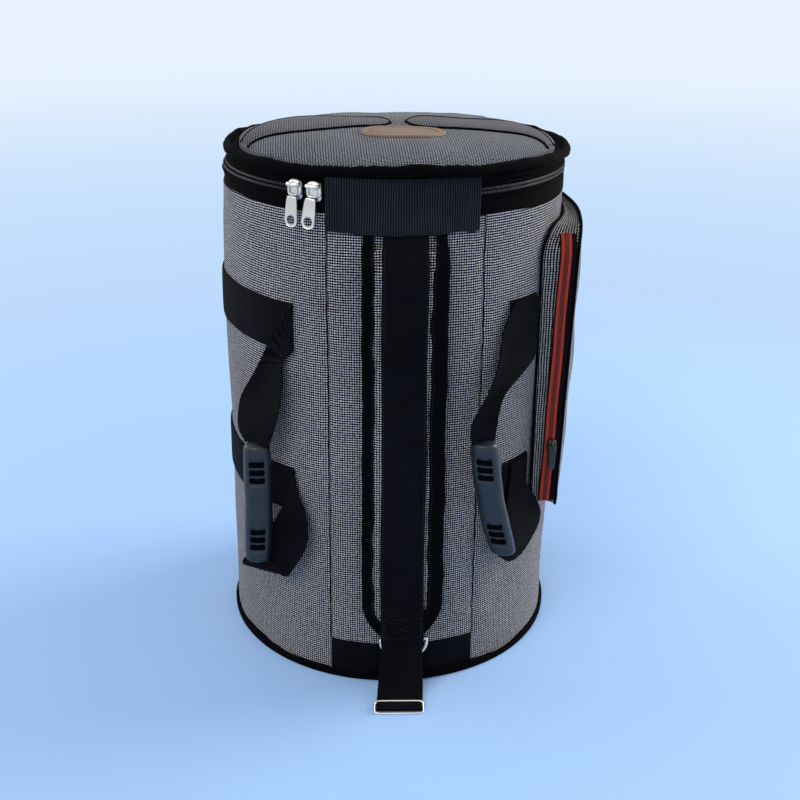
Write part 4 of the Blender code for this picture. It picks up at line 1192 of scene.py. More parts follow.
# %% [markdown]
# Two tongues of the same cloth, turned a quarter, are let into the lid and outlined with a thin black
# cord. A boolean would cut them from the dome, but the dome's height is a formula, so a grid between the
# near and the far edge of each tongue is simply laid on it and puffed up a little.

# %% Tongues
TONGUE_POINTS = 72
TONGUE_LIFT, TONGUE_PUFF, TONGUE_CORD = 0.0007, 0.0016, 0.0010


def laid(x, y, rise):
    """Points on the lid's cloth, lifted by rise."""
    return np.stack(np.broadcast_arrays(x, y, dome_height(x, y) + rise), axis=-1)


def tongue(name, node, near, far, tip):
    """A puffed panel between two edges given in millimetres from the lid's middle, and its cord.

    The panel stops at the lid's rim, and there each end of the cord falls down the side of the dome.
    """
    edges, cords = [], []
    for rows in (near, far):
        edge = curve_through(np.array([tip] + rows, float) / 1000, TONGUE_POINTS)
        most = dome_reach(np.arctan2(edge[:, 0], -edge[:, 1])) - 0.0013
        reach = np.linalg.norm(edge, axis=1)
        edges.append(edge * np.minimum(1.0, most / reach)[:, None])
        end = np.count_nonzero(reach <= most) - 1
        falling = unit(edge[end]) * (most[end] + np.linspace(0.0, 0.0012, 6))[:, None]
        cords.append(np.concatenate([edge[:end], falling]))
    share = np.linspace(0.0, 1.0, 20)[:, None]
    flat = edges[0][1:, None] + (edges[1] - edges[0])[1:, None] * share
    fullness = np.sin(np.linspace(0.06, pi - 0.5, TONGUE_POINTS))[1:, None] ** 0.4
    puff = TONGUE_PUFF * (1 - (2 * share[:, 0] - 1) ** 4) * fullness
    front, back = (laid(flat[..., 0], flat[..., 1], rise) for rise in (TONGUE_LIFT + puff, 0.0002))
    # The tongues' cloth has painted shade in its colour.
    piece = shell(name + "_tongue", TWEED_TURNED_PAINTED_SHADE, front, back, places=front[..., :2])
    dress(piece, "lid", "grey_tweed", node)
    outline = np.concatenate([cords[0][:0:-1], cords[1]])
    cord = tube(name + "_tongue_cord", BLACK_BINDING, laid(*outline.T, TONGUE_LIFT), TONGUE_CORD, sides=8)
    dress(cord, "lid", "black_binding")


tongue("lid_left", "lid_left_inset",
       [(-9, -35), (-20, -41), (-34, -43), (-56, -47.5), (-74, -49.5), (-88, -47.5), (-102, -45), (-112, -48),
        (-117, -56), (-118.5, -63)],
       [(-6, -8), (-14, 2), (-32, 9), (-51, 20), (-70, 31), (-84, 34), (-97, 27), (-108, 13), (-117, -5),
        (-122, -26), (-123.5, -41)], (-3, -23))
tongue("lid_right", "lid_right_inset",
       [(15, -35), (29, -44), (47, -48), (65, -50), (83, -50.5), (101, -49), (111, -52), (115.5, -58),
        (116.5, -66)],
       [(17, -4), (28, 1), (43, 0), (62, -3), (82, 0), (98, 5), (110, 4), (118, -4), (123, -14), (126, -31),
        (126, -44)], (9.3, -20))
print("tongues laid")

# %% [markdown]
# The badge is a bare oval of tan leather: a pressed groove runs inside its edge, with a row of thread
# round it. Rings from the middle outwards carry the whole cross-section, so no edge has to be selected.

# %% Badge
BADGE_MIDDLE = (0.0040, -0.0621)
BADGE_HALF = (0.0333, 0.0204)
BADGE_PROFILE = np.array([(0.05, 1.5), (0.3, 1.5), (0.55, 1.45), (0.70, 1.4), (0.745, 1.35), (0.765, 0.8),
                          (0.785, 0.8), (0.805, 1.5), (0.84, 1.7), (0.88, 1.45), (0.92, 1.7), (0.97, 1.6),
                          (0.992, 1.2), (1.0, 0.4)])
BADGE_SEAM = 0.885


def lozenge(turn, power):
    """Sideways and lengthways share of a rounded square: sine and cosine drawn out by a power."""
    return (np.sign(np.cos(turn)) * np.abs(np.cos(turn)) ** power,
            np.sign(np.sin(turn)) * np.abs(np.sin(turn)) ** power)


def build_badge():
    """Rings of an oval whose height follows the pressed profile, in millimetres over the cloth."""
    across, along = lozenge(full_turn(128), 0.94)

    def rings(share, height):
        return laid(BADGE_MIDDLE[0] + BADGE_HALF[0] * share * across,
                    BADGE_MIDDLE[1] + BADGE_HALF[1] * share * along, height)
    top = rings(BADGE_PROFILE[:, :1], BADGE_PROFILE[:, 1:] / 1000)
    badge = shell("badge_leather", TAN_LEATHER, top, rings(BADGE_PROFILE[:, :1], 0.0002), wrap=True,
                  pole=True, places=flat_places(top))
    dress(badge, "lid", "tan_leather", "lid_badge")
    seam = rings(BADGE_SEAM, 0.0017)
    seam = np.concatenate([seam, seam[:1]])
    dress(stitches("badge_thread", TAN_THREAD, [(seam, UP)], 0.0007), "lid", "tan_leather")


build_badge()

# %% [markdown]
# ## The zip
#
# A coil zip is two rows of bent nylon that mesh. Seen from a step away each row is a line of small
# bright grains on black tape, so a grain of thirty corners is copied along both edges. The two rows are
# set half a step apart, and each one moves with its own side: the body's, or the lid's.

# %% Tapes and coils
COIL_PITCH = 0.0020
TOOTH = pill(0.0021, 0.00105, 0.0012)

for side in ("body", "lid"):
    wall_skin(side + "_tape_cloth", ZIP_TAPE, side + "_zip_tape", side, "zip_tape", drawn_in(-FABRIC),
              drawn_in(-0.0003), rise_step=0.0012)


def coil(side, height, offset):
    """A row of teeth round the zip, each slightly leaning along the row; gives their number."""
    node = side + "_zip_teeth"
    first, last = span(node)[:2]
    count = int((last - first) * TOP_RADIUS / COIL_PITCH)
    turn = first + (np.arange(count) + 0.5 + offset) * (last - first) / (count + 1)
    rise = np.full(count, height)
    origins = on_wall(turn, rise, drawn_in(0.0004)(turn, 0.0, rise))
    ahead = unit(UP + 0.22 * tangent(turn))
    row = scatter(side + "_coil", ZIP_COIL, TOOTH, origins, ahead, squared(outward(turn), ahead))
    dress(row, side, "zip_coil", node)
    return count


print("teeth", coil("body", height=0.4192, offset=0.0), coil("lid", height=0.4221, offset=0.5))


def welt(side, height):
    """The thin raised seam of tape beside the teeth."""
    first, last = span(side + "_zip_tape")[:2]
    turn = np.linspace(first, last, 320)
    rise = height + 0.0002 * np.sin(40 * turn)
    path = on_wall(turn, rise, drawn_in(-0.0001)(turn, 0.0, rise))
    dress(tube(side + "_tape_welt", ZIP_TAPE, path, 0.0007, sides=8), side, "zip_tape")


welt("body", height=0.4158)
welt("lid", height=0.4252)

# %% [markdown]
# The ribbed panel at the front is what the lid turns on. It's one cloth sewn to the body below and to
# the lid above, and on the real bag it bends between the two over the last centimetre under the piping.

# %% Hinge panel


def build_hinge_panel():
    """A ribbed strip with turned-in hems: a thicker edge at both sides and below."""
    first, last, low, high = span("hinge_panel")

    def over_pad(angle, share, height):
        beside = limited((radians(14.5) - np.abs(angle)) / radians(2.5))
        above = limited(1 - (height - low) / 0.016)
        return 0.0034 * (beside * above) ** 1.5 * (3 - 2 * (beside * above) ** 0.5)

    def relief(angle, share, height):
        side = np.minimum(angle - first, last - angle) * TOP_RADIUS
        hem = limited(1 - np.minimum(side, height - low) / 0.004)
        soft = 0.0005 * np.sin(9 * angle + 40 * height) + 0.0003 * np.sin(23 * angle + 1)
        base = 0.0017 + 0.0005 * np.sin(pi * hem) + soft * limited(side / 0.01) * 0.6
        return base + over_pad(angle, share, height)

    edge = wavy(0.0005, 30)
    front, back = (wall_grid(first, last, lambda turn: low + edge(turn) - 0.0003, high, outset,
                             rise_step=0.0011, turn_step=0.0013)[0]
                   for outset in (relief, lambda *at: 0.0003 + over_pad(*at)))
    # Its webbing carries painted highlights on the rib crests.
    panel = shell("hinge_panel_cloth", PANEL_WEBBING_PAINTED_HIGHLIGHT, front, back)
    dress(panel, None, "black_webbing", "hinge_panel")
    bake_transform(panel)


build_hinge_panel()

# %% [markdown]
# A slider is a cast metal cap with a bridge, and its pull hangs from the bridge by an eye. All of these
# are rounded plates: an outline, drawn in towards its middle in rings whose heights make the edge round.

# %% Cast plates


def domed_plate(name, material, centre, axes, sizes, power, taper=0.0):
    """A cushion-shaped casting; the sizes are half its width, half its length and its whole height."""
    across, along, out = (axis * size for axis, size in zip(axes, sizes))
    turn = full_turn(48)
    share = np.array([0.08, 0.3, 0.55, 0.75, 0.88, 0.96, 1.0])[:, None]
    height = np.array([1.0, 0.99, 0.95, 0.86, 0.70, 0.48, 0.25])[:, None]
    side, length = lozenge(turn, power)
    side = side * (1 - taper * length)
    flat = centre + (share * side)[..., None] * across + (share * length)[..., None] * along
    return shell(name, material, flat + height[..., None] * out, flat, wrap=True, pole=True)


def holed_plate(name, material, centre, across, along, out, hole, outline, thick):
    """A flat tab with a round hole: rings from the hole's rim to the outline, both rims raised."""
    turn = full_turn(64)
    inner = hole * np.stack([np.cos(turn), np.sin(turn)])
    side, length = outline(turn)
    share = np.array([0.0, 0.03, 0.12, 0.2, 0.5, 0.8, 0.9, 0.975, 1.0])[:, None]
    half = np.array([0.55, 0.95, 1.0, 0.72, 0.70, 0.72, 1.0, 0.95, 0.5])[:, None, None] * thick / 2
    x = inner[0] + (side - inner[0]) * share
    y = inner[1] + (length - inner[1]) * share
    flat = centre + x[..., None] * across + y[..., None] * along
    return shell(name, material, flat + half * out, flat - half * out, wrap=True)


def pull_outline(turn):
    """A tab 10.8 mm wide at its rounded foot, whose sides lean in upwards; the hole is the origin."""
    side, length = np.cos(turn), np.sin(turn)
    below = length < 0
    rise = np.abs(length) ** 0.24
    width = np.where(below, 0.0054, 0.0054 - 0.0010 * rise)
    x = np.sign(side) * np.abs(side) ** np.where(below, 0.90, 0.24) * width
    y = np.where(below, length * 0.0056, rise * 0.0176)
    return x, y


def arch_line(middle, along, half, out, rise, count):
    """Half an oval from one side of a middle to the other."""
    turn = np.linspace(0.0, pi, count)
    return middle - along * (half * np.cos(turn))[:, None] + out * (rise * np.sin(turn) ** 0.6)[:, None]


PULL_HEIGHT = 0.4251
PULL_HOLE = 0.0034
PULL_THICKNESS = 0.0014


def build_slider(side, lean):
    """Cap, flange and bridge of a slider, and its pull: an eye of wire and a holed tab that leans."""
    low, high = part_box(side + "_slider")
    middle = (np.array(low) + np.array(high)) / 2
    angle = np.arctan2(middle[0], -middle[1])
    across, out = tangent(angle), outward(angle)
    seat = on_wall(angle, ZIP_HEIGHT, 0.0022)
    axes = (across, UP, out)
    flange = domed_plate(side + "_slider_flange", NICKEL, seat, axes, (0.0056, 0.0072, 0.0016), 0.5)
    dress(flange, side + "_slider", "nickel", side + "_slider")
    cap = domed_plate(side + "_slider_cap", NICKEL, seat + out * 0.0012 + UP * 0.0016, axes,
                      (0.0061, 0.0064, 0.0028), 0.72, taper=0.10)
    dress(cap, side + "_slider", "nickel")
    line = arch_line(seat + UP * 0.0046 + out * 0.0032, across, 0.0046, out, 0.0036, 20)
    bridge = tube(side + "_slider_bridge", NICKEL, line, 0.00125, sides=10, flat=1.25)
    dress(bridge, side + "_slider", "nickel")
    axle = on_wall(angle, PULL_HEIGHT, 0.0070)
    x, y = lozenge(full_turn(32), 0.45)
    loop = axle - UP * 0.0037 + across * (x * 0.0036)[:, None] + UP * (y * 0.0038)[:, None]
    eye = tube(side + "_pull_eye", NICKEL, loop, 0.00072, sides=10, closed=True, up=out)
    dress(eye, side + "_pull", "nickel")
    upright = UP * cos(lean) + across * sin(lean)
    beside = across * cos(lean) - UP * sin(lean)
    hole = axle - upright * 0.0265
    tab = holed_plate(side + "_pull_tab", NICKEL, hole, beside, upright, out, PULL_HOLE, pull_outline,
                      PULL_THICKNESS)
    dress(tab, side + "_pull", "nickel", side + "_pull")


build_slider("left", radians(4.5))
build_slider("right", radians(8.0))
print("sliders cast")

# %% [markdown]
# ## Shoulder strap
#
# Down the front runs a padded strap: foam under tweed, bound in black along both edges, with one heavy
# webbing sewn over its middle. The pad is the one soft cushion outside, so cloth simulation blows it up
# from a thinner start: pressure pushes its skin outwards, and a cap keeps it under the webbing.

# %% Pad blown up by cloth simulation
PAD_LEFT, PAD_RIGHT = radians(-12.1), radians(12.4)
PAD_MIDDLE, PAD_HALF = (PAD_LEFT + PAD_RIGHT) / 2, (PAD_RIGHT - PAD_LEFT) / 2
PAD_LOW, PAD_HIGH, PAD_ROUND = 0.0455, 0.3965, 0.0380
PAD_BACK, PAD_FRONT = 0.0024, 0.0086
PANEL_HEM = 0.3925
TUCK_LENGTH = 0.028
TUCKED_SHARE = 0.18


def tucked(height):
    """Share of an outset that is left near the strap's top, where it goes flat under the hinge panel."""
    return 1 - (1 - TUCKED_SHARE) * eased((height - (PANEL_HEM - TUCK_LENGTH)) / TUCK_LENGTH)


def pad_end(angle):
    """The pad's lower edge: straight in the middle, an ellipse towards the sides."""
    share = np.clip(np.abs(angle - PAD_MIDDLE) / PAD_HALF, 0.0, 0.999)
    return PAD_LOW + PAD_ROUND * (1.0 - np.sqrt(1.0 - share ** 2))


def inflate(piece, pressure, frames, voxel):
    """Remesh a closed shape and let inner pressure swell it, without gravity."""
    bpy.context.view_layer.objects.active = piece
    remesh = piece.modifiers.new("even faces", "REMESH")
    remesh.mode = "VOXEL"
    remesh.voxel_size = voxel
    bpy.ops.object.modifier_apply(modifier=remesh.name)
    before = read_corners(piece)
    cloth = piece.modifiers.new("swelling", "CLOTH")
    cloth.settings.use_pressure = True
    cloth.settings.uniform_pressure_force = pressure
    cloth.settings.effector_weights.gravity = 0.0
    cloth.settings.quality = 4
    cloth.point_cache.frame_start, cloth.point_cache.frame_end = 1, frames
    for number in range(1, frames + 1):
        bpy.context.scene.frame_set(number)
    bpy.ops.object.modifier_apply(modifier=cloth.name)
    bpy.context.scene.frame_set(1)
    return before


def build_pad():
    """A flat-backed cushion on the wall, swollen, then kept between the wall and the webbing."""
    turn = np.linspace(PAD_LEFT + 0.005, PAD_RIGHT - 0.005, 25)
    share = np.linspace(0.0, 1.0, 90)[:, None]
    low = pad_end(turn) + 0.0015
    height = low + (PAD_HIGH - 0.0005 - low) * share
    angle = np.broadcast_to(turn, height.shape)
    front, back = (PAD_FRONT - 0.0016) * tucked(height), (PAD_BACK + 0.0004) * tucked(height)
    piece = shell("pad_cushion", TWEED_PAD, on_wall(angle, height, front), on_wall(angle, height, back))
    cap = 0.0030
    before = inflate(piece, pressure=4.0, frames=20, voxel=0.0042)
    moved = read_corners(piece) - before
    far = np.linalg.norm(moved, axis=1, keepdims=True)
    after = before + moved * np.minimum(1.0, cap / np.maximum(far, 1e-9))
    turn_now = np.arctan2(after[:, 0], -after[:, 1])
    reach = np.hypot(after[:, 0], after[:, 1])
    base = wall_radius(turn_now, after[:, 2]) + ripple(turn_now, after[:, 2])
    flat = tucked(after[:, 2])
    kept = np.clip(reach - base, (PAD_BACK - 0.0004) * flat, (PAD_FRONT - 0.0001) * flat)
    after[:, :2] *= ((base + kept) / reach)[:, None]
    after[:, 2] = np.clip(after[:, 2], PAD_LOW + 0.0003, PAD_HIGH)
    piece.data.vertices.foreach_set("co", after.astype(np.float32).ravel())
    piece.data.update()
    finer = piece.modifiers.new("finer", "SUBSURF")
    finer.levels = finer.render_levels = 1
    bpy.ops.object.modifier_apply(modifier=finer.name)
    piece.data.shade_smooth()
    print("pad swelled by up to", round(float(far.max()) * 1000, 1), "mm before the cap")
    dress(piece, "body", "grey_tweed", "shoulder_pad")


build_pad()

# %% [markdown]
# The binding is a tape folded over the pad's edge. Its cross-section starts behind the edge, comes
# round it and ends on the pad's face, and the section is carried down one side and in round the end.

# %% Bindings of the pad
BINDING_SECTION = np.array([(0.9, 2.6), (-0.2, 2.7), (-0.9, 3.6), (-1.2, 5.2), (-1.2, 7.0), (-0.9, 8.6),
                            (0.0, 9.7), (1.4, 10.2), (3.5, 10.35), (6.0, 10.2), (8.2, 10.1), (9.4, 9.9),
                            (10.0, 9.3)]) / 1000
BINDING_INSIDE = np.array([(1.0, 3.2), (0.5, 3.4), (0.1, 4.0), (-0.2, 5.2), (-0.2, 6.9), (0.1, 8.0),
                           (0.7, 8.7), (1.6, 8.95), (3.5, 9.0), (6.0, 9.0), (8.2, 9.0), (9.3, 8.95),
                           (9.8, 8.9)]) / 1000


def pad_outline(side):
    """The pad's edge down one side and in round its end: places along and up, and the way inwards."""
    count = 190
    middle, half = PAD_MIDDLE * BASE_RADIUS, PAD_HALF * BASE_RADIUS
    corner = PAD_LOW + PAD_ROUND
    bend = np.linspace(0.0, radians(62), count // 4)[1:]
    along = np.concatenate([np.full(count, half), half * np.cos(bend)])
    rise = np.concatenate([np.linspace(PAD_HIGH, corner, count), corner - PAD_ROUND * np.sin(bend)])
    along = along + 0.0004 * np.sin(rise * 70 + side) + 0.0003 * np.sin(rise * 190)
    path = np.stack([along, rise], axis=1)
    heading = unit(np.gradient(path, axis=0))
    inward = np.stack([heading[:, 1], -heading[:, 0]], axis=1)
    path[:, 0] = middle + side * path[:, 0]
    inward[:, 0] *= side
    return path, inward


def build_binding(side, label, wide, widen):
    """The folded tape, and its seam; wide scales its face side and widen adds to that further down."""
    path, inward = pad_outline(side)
    stretch = wide + widen * limited((0.385 - path[:, 1]) / 0.03) + 0.03 * np.sin(path[:, 1] * 160)
    layers = []
    for section in (BINDING_SECTION, BINDING_INSIDE):
        inset = section[:, :1] * np.where(section[:, :1] > 0.002, stretch, 1.0)
        place = path[None] + inset[..., None] * inward[None]
        rise = place[..., 1]
        layers.append(on_wall(place[..., 0] / BASE_RADIUS, rise, section[:, 1:2] * tucked(rise)))
    piece = shell("pad_" + label + "_tape", BLACK_BINDING, *layers)
    dress(piece, "body", "black_binding", "pad_binding_" + label)
    seam = path + 0.0086 * stretch[:, None] * inward
    angle = seam[:, 0] / BASE_RADIUS
    return on_wall(angle, seam[:, 1], 0.0101 * tucked(seam[:, 1])), outward(angle)


binding_seams = [build_binding(-1, "left", wide=0.78, widen=0.0),
                 build_binding(1, "right", wide=0.86, widen=0.34)]

# %% [markdown]
# Webbing has a slight crown, and its edges are a little softer than its face. The strap's webbing lies
# on the pad; below the pad it runs on, over the ring, to a slide that rests on the floor.

# %% Webbing down the strap
WEB_HALF = 0.0170


def build_webbing():
    """Edge lines up the pad, with the small sideways wander of sewn webbing."""
    rise = np.linspace(0.0445, PAD_HIGH, 200)
    wander = 0.0004 * np.sin(rise * 34 + 0.5)
    lift = (0.0098 + 0.0003 * np.sin(rise * 60)) * tucked(rise)
    left, right = (on_wall((wander + edge) / BASE_RADIUS, rise, lift) for edge in (-WEB_HALF, WEB_HALF))
    piece = strap("strap_webbing_cloth", BLACK_WEBBING, left, right, WEBBING, bow=0.00095)
    dress(piece, "body", "black_webbing", "strap_webbing")


def box_lines(low, high, half, outset):
    """A sewn box with a cross in it: lines on the wall, each with its outward directions."""
    corners = [(-half, low), (half, low), (half, high), (-half, high)]
    share = np.linspace(0.0, 1.0, 24)
    lines = []
    for first, last in ((0, 1), (1, 2), (2, 3), (3, 0), (0, 2), (1, 3)):
        (x, z), (end_x, end_z) = corners[first], corners[last]
        angle = (x + (end_x - x) * share) / BASE_RADIUS
        lines.append((on_wall(angle, z + (end_z - z) * share, outset), outward(angle)))
    return lines


build_webbing()
sewing = box_lines(low=0.0500, high=0.0690, half=0.0140, outset=0.0116)
edge_rise = np.linspace(0.052, 0.392, 90)
for side in (-1, 1):
    edge_angle = np.full(90, side * 0.0152 / BASE_RADIUS)
    sewing.append((on_wall(edge_angle, edge_rise, 0.0113 * tucked(edge_rise)), outward(edge_angle)))
dress(stitches("strap_thread", BLACK_THREAD, sewing + binding_seams, 0.0005), "body", "black_webbing")

# %% Ring and chape
RING_AXIS = on_wall(0.0, 0.0425, 0.0017) + ASIDE * 0.0020
RING_HALF = 0.0196
RING_DOWN = np.array([0.0, -sin(radians(20.0)), -cos(radians(20.0))])


def build_ring():
    """A bent wire D: a straight bar above and half an oval below."""
    turn = np.linspace(0.0, pi, 60)
    bow = (RING_AXIS + np.outer(np.cos(turn) * RING_HALF, ASIDE)
           + (0.0150 * np.sin(turn) ** 0.8)[:, None] * RING_DOWN)
    bar = RING_AXIS + np.outer(np.linspace(-RING_HALF, RING_HALF, 24)[1:-1], ASIDE)
    ring = tube("ring_wire", NICKEL, np.concatenate([bow, bar]), 0.0014, sides=14, closed=True,
                up=np.cross(ASIDE, RING_DOWN))
    dress(ring, "ring", "nickel", "d_ring")


def build_chape():
    """The strip that holds the ring: flat on the kick panel, then round the front of the bar."""
    route = np.array([(57.2, 1.0), (52, 1.0), (48, 1.1), (45.4, 1.7), (44.2, 3.0), (42.6, 3.7), (41.0, 3.3),
                      (40.0, 2.0)]) / 1000
    line = curve_through(route, 40)
    half = 0.0150 / BASE_RADIUS
    edges = [on_wall(np.full(40, side * half), line[:, 0], line[:, 1]) for side in (-1, 1)]
    dress(strap("chape_webbing", BLACK_WEBBING, *edges, 0.0011), "body", "black_webbing", "ring_chape")


build_ring()
build_chape()

# %% Tail webbing and its slide
SLIDE_MIDDLE = -0.1865
SLIDE_ASIDE = -0.0044
SLIDE_TURN = radians(3.0)
SLIDE_HALF = 0.0198


def cross_strap(name, route, widths, thickness, aside=True):
    """Webbing along a route of (y, z) in millimetres, of changing width, leaning aside towards its end."""
    count = 110
    line = curve_through(np.array([(0, y, z) for y, z in route]) / 1000, count)
    half = np.interp(np.linspace(0, 1, count), np.linspace(0, 1, len(widths)), widths)[:, None] / 2000
    share = limited((line[0, 1] - line[:, 1]) / (line[0, 1] - SLIDE_MIDDLE)) * aside
    line[:, 0] += SLIDE_ASIDE * share
    side = np.stack([np.cos(SLIDE_TURN * share), -np.sin(SLIDE_TURN * share), 0 * share], axis=1)
    return strap(name, BLACK_WEBBING, line - side * half, line + side * half, thickness)


tail = cross_strap("tail_webbing_cloth",
                   [(-154.7, 44.6), (-156.2, 38.5), (-159.2, 30), (-163.5, 20), (-169.6, 10), (-175.5, 4.4),
                    (-180.5, 2.9), (-184.0, 4.2), (-187.4, 4.6), (-189.6, 3.4), (-189.2, 1.6),
                    (-186.5, 1.3), (-181.0, 1.1)],
                   (34, 35, 36.5, 38, 38.4, 38.6, 38.4, 38, 38, 37.6), 0.0015)
dress(tail, None, "black_webbing", "tail_webbing")
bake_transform(tail)
back_strip = cross_strap("tail_return_cloth",
                         [(-180.6, 1.05), (-175, 1.3), (-168, 4.6), (-161, 12), (-155.5, 20.5),
                          (-152.6, 26.4)],
                         (33, 32, 28, 24, 21, 20), 0.0014, aside=False)
dress(back_strip, None, "black_webbing", "tail_return")
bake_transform(back_strip)


def build_slide():
    """A flat wire frame with round corners, raised at its back edge, and the bar in its middle."""
    x, y = lozenge(full_turn(96), 0.22)
    tilt = 0.00275 + 0.0021 * y
    across = np.array([cos(SLIDE_TURN), -sin(SLIDE_TURN), 0.0])
    along = np.array([sin(SLIDE_TURN), cos(SLIDE_TURN), 0.0])
    middle = np.array([SLIDE_ASIDE, SLIDE_MIDDLE, 0.0])
    frame_line = middle + np.outer(x * SLIDE_HALF, across) + np.outer(y * 0.0054, along) + np.outer(tilt, UP)
    dress(tube("slide_frame", NICKEL, frame_line, 0.0009, sides=10, closed=True), "tail", "nickel",
          "slide_buckle")
    bar = middle + np.outer(np.linspace(-SLIDE_HALF, SLIDE_HALF, 12), across) + UP * 0.0027
    dress(tube("slide_bar", NICKEL, bar, 0.0008, sides=10), "tail", "nickel")


build_slide()
print("strap, ring and slide made")

# %% [markdown]
# ## Carry handles
#
# Each handle is one length of webbing: it leaves a band sewn round the bag, folds over, bunches into a
# rubber grip, and comes back to the lower band. Simulating that fold would be slow and hard to steer.
# Instead the two edges of the webbing are drawn as smooth curves through places read off the bag, and
# the cloth is stretched between them.

# %% Webbing of the handles
HANDLE_POINTS = 56


def edge_line(rows, count=HANDLE_POINTS):
    """A smooth edge through rows of (degrees from the front, height and outset in millimetres)."""
    degrees, height, outset = np.array(rows, float).T
    return curve_through(on_wall(np.radians(degrees), height / 1000, outset / 1000), count)


def handle_strap(side, level, left, right, bend_start, bend_end, bow=0.0):
    """Webbing between two edges; the places made from bend_start and bend_end are not used."""
    body = side + "_handle"
    piece = strap(side + "_" + level + "_webbing", BLACK_WEBBING, edge_line(left), edge_line(right),
                  WEBBING, bow)
    dress(piece, None, "black_webbing", body + "_" + level + "_strap")
    start, end = (tuple(edge_line([row, row], 2)[0]) for row in (bend_start, bend_end))
    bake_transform(piece)


belly = 0.0035 * np.sin(np.linspace(0, pi, HANDLE_POINTS))[:, None] ** 2
handle_strap(
    "left", "upper",
    [(-36.9, 331, 1.4), (-35.9, 331, 2.2), (-37.4, 325, 3.6), (-43.3, 303, 4), (-50.4, 270, 6),
     (-55.8, 245.7, 10), (-55.7, 231.7, 14), (-53.6, 219.7, 18), (-49.6, 212, 20)],
    [(-36.9, 292.5, 1.4), (-35.9, 292.5, 2.2), (-37, 289, 3.8), (-38.3, 285.4, 5), (-38.5, 281.4, 7),
     (-37.2, 267.4, 12), (-36.6, 253.9, 16), (-37.3, 239.1, 19), (-40.0, 214, 20)],
    (-36.8, 300, 3), (-42.5, 300, 3), belly)
handle_strap(
    "left", "lower",
    [(-36.9, 152, 1.4), (-37.6, 151, 2.2), (-41.5, 148, 3.6), (-43.5, 140.5, 6), (-45.5, 125.1, 12),
     (-51.5, 104, 17), (-54.5, 93, 19), (-54, 88.9, 17), (-51, 94, 14.5), (-49, 104, 17), (-48.5, 108, 19)],
    [(-36.9, 190.5, 1.4), (-35.9, 190, 2.2), (-35.4, 184, 3.6), (-33.9, 170.5, 5), (-30.3, 152, 8),
     (-30.2, 127, 11), (-35, 101, 15), (-36.6, 96.5, 14), (-39, 101, 13), (-41.5, 106, 17), (-42.5, 109, 19)],
    (-36.6, 172, 3), (-36.0, 158, 5))
handle_strap(
    "right", "upper",
    [(37.2, 330.5, 2.8), (34.6, 322, 3.6), (31.4, 308, 5), (29.1, 284.9, 8), (24.3, 263.9, 14),
     (20.2, 250.4, 18), (18.4, 239.5, 20), (18.9, 226, 20)],
    [(50.2, 327.4, 2.8), (48.6, 300, 3.4), (46.6, 281.2, 6), (39.8, 272.5, 9), (29.8, 262.3, 16),
     (27.2, 248.1, 19), (26.6, 234.9, 20), (26.0, 224.9, 20)],
    (44, 318, 3), (33, 284, 5), belly)
handle_strap(
    "right", "lower",
    [(38.6, 188.8, 2.8), (37.7, 166, 4), (35.8, 154, 8), (35.2, 138, 14), (35.2, 128, 18),
     (34.4, 121.5, 20), (33.4, 121, 20), (31.4, 123, 19)],
    [(46.6, 190.6, 2.8), (46.3, 169.3, 4), (52.5, 141, 9), (53.5, 129, 11), (50.4, 118, 12),
     (41.1, 107.2, 16), (34.9, 106.5, 18), (29.6, 117, 19)],
    (43, 184, 3), (38, 152, 6))
print("handle webbing laid")

# %% [markdown]
# The bands that carry the handles are the same webbing, sewn flat round the bag.

# %% Bands
for level, start in (("upper", 1.0), ("lower", 2.2)):
    for side in ("left", "right"):
        node = level + "_band_" + side
        low, high = span(node)[2:]
        edge = wavy(0.0004, 9, start)
        wall_skin(node + "_cloth", BLACK_WEBBING, node, "body", "black_webbing", 0.0003,
                  cushion(0.0012, 0.0021), bottom=lambda turn: low + edge(turn),
                  top=lambda turn: high + edge(turn + 0.3), rise_step=0.0022)

# %% [markdown]
# The grips are moulded tubes, fuller in the middle, each with a sunken window near both ends and three
# dark bars in it. A grid round and along the tube holds everything: the window is a dip in the radius,
# worked out from the distance to a rounded rectangle.

# %% Grips
GRIP_HALF_WIDTH = 0.01175
GRIP_HALF_DEPTH = 0.0090
GRIP_OUTSET = 0.020
WINDOWS = (0.215, 0.785)
WINDOW_HALF_LENGTH, WINDOW_HALF_WIDTH, WINDOW_ROUND = 0.0125, 0.0074, 0.003
BAR_STEP = 0.066


def grip_surface(top, bottom, bow, share, turn, facing_angle):
    """Points of a grip: an oval tube from top to bottom, bowed sideways, with two sunken windows."""
    across, out = tangent(facing_angle), outward(facing_angle)
    size = 0.95 + 0.06 * np.sin(pi * share) - 0.05 * np.cos(pi * share * 2) ** 6
    size = size * limited(1 - ((2 * share - 1) ** 2) ** 24) ** 0.5
    length = np.linalg.norm(bottom - top)
    sideways, facing = np.cos(turn) * GRIP_HALF_WIDTH, np.sin(turn)
    for centre in WINDOWS:
        along = np.abs(share - centre) * length - WINDOW_HALF_LENGTH
        beside = np.abs(sideways) - WINDOW_HALF_WIDTH
        corner = np.hypot(np.maximum(along + WINDOW_ROUND, 0), np.maximum(beside + WINDOW_ROUND, 0))
        size = size - 0.085 * limited(-(corner - WINDOW_ROUND) / 0.0010) * (facing > 0)
    centre_line = top + (bottom - top) * share[..., None] + across * (bow * np.sin(pi * share))[..., None]
    return (centre_line + across * (sideways * size)[..., None]
            + out * (facing * GRIP_HALF_DEPTH * size)[..., None]), across, out


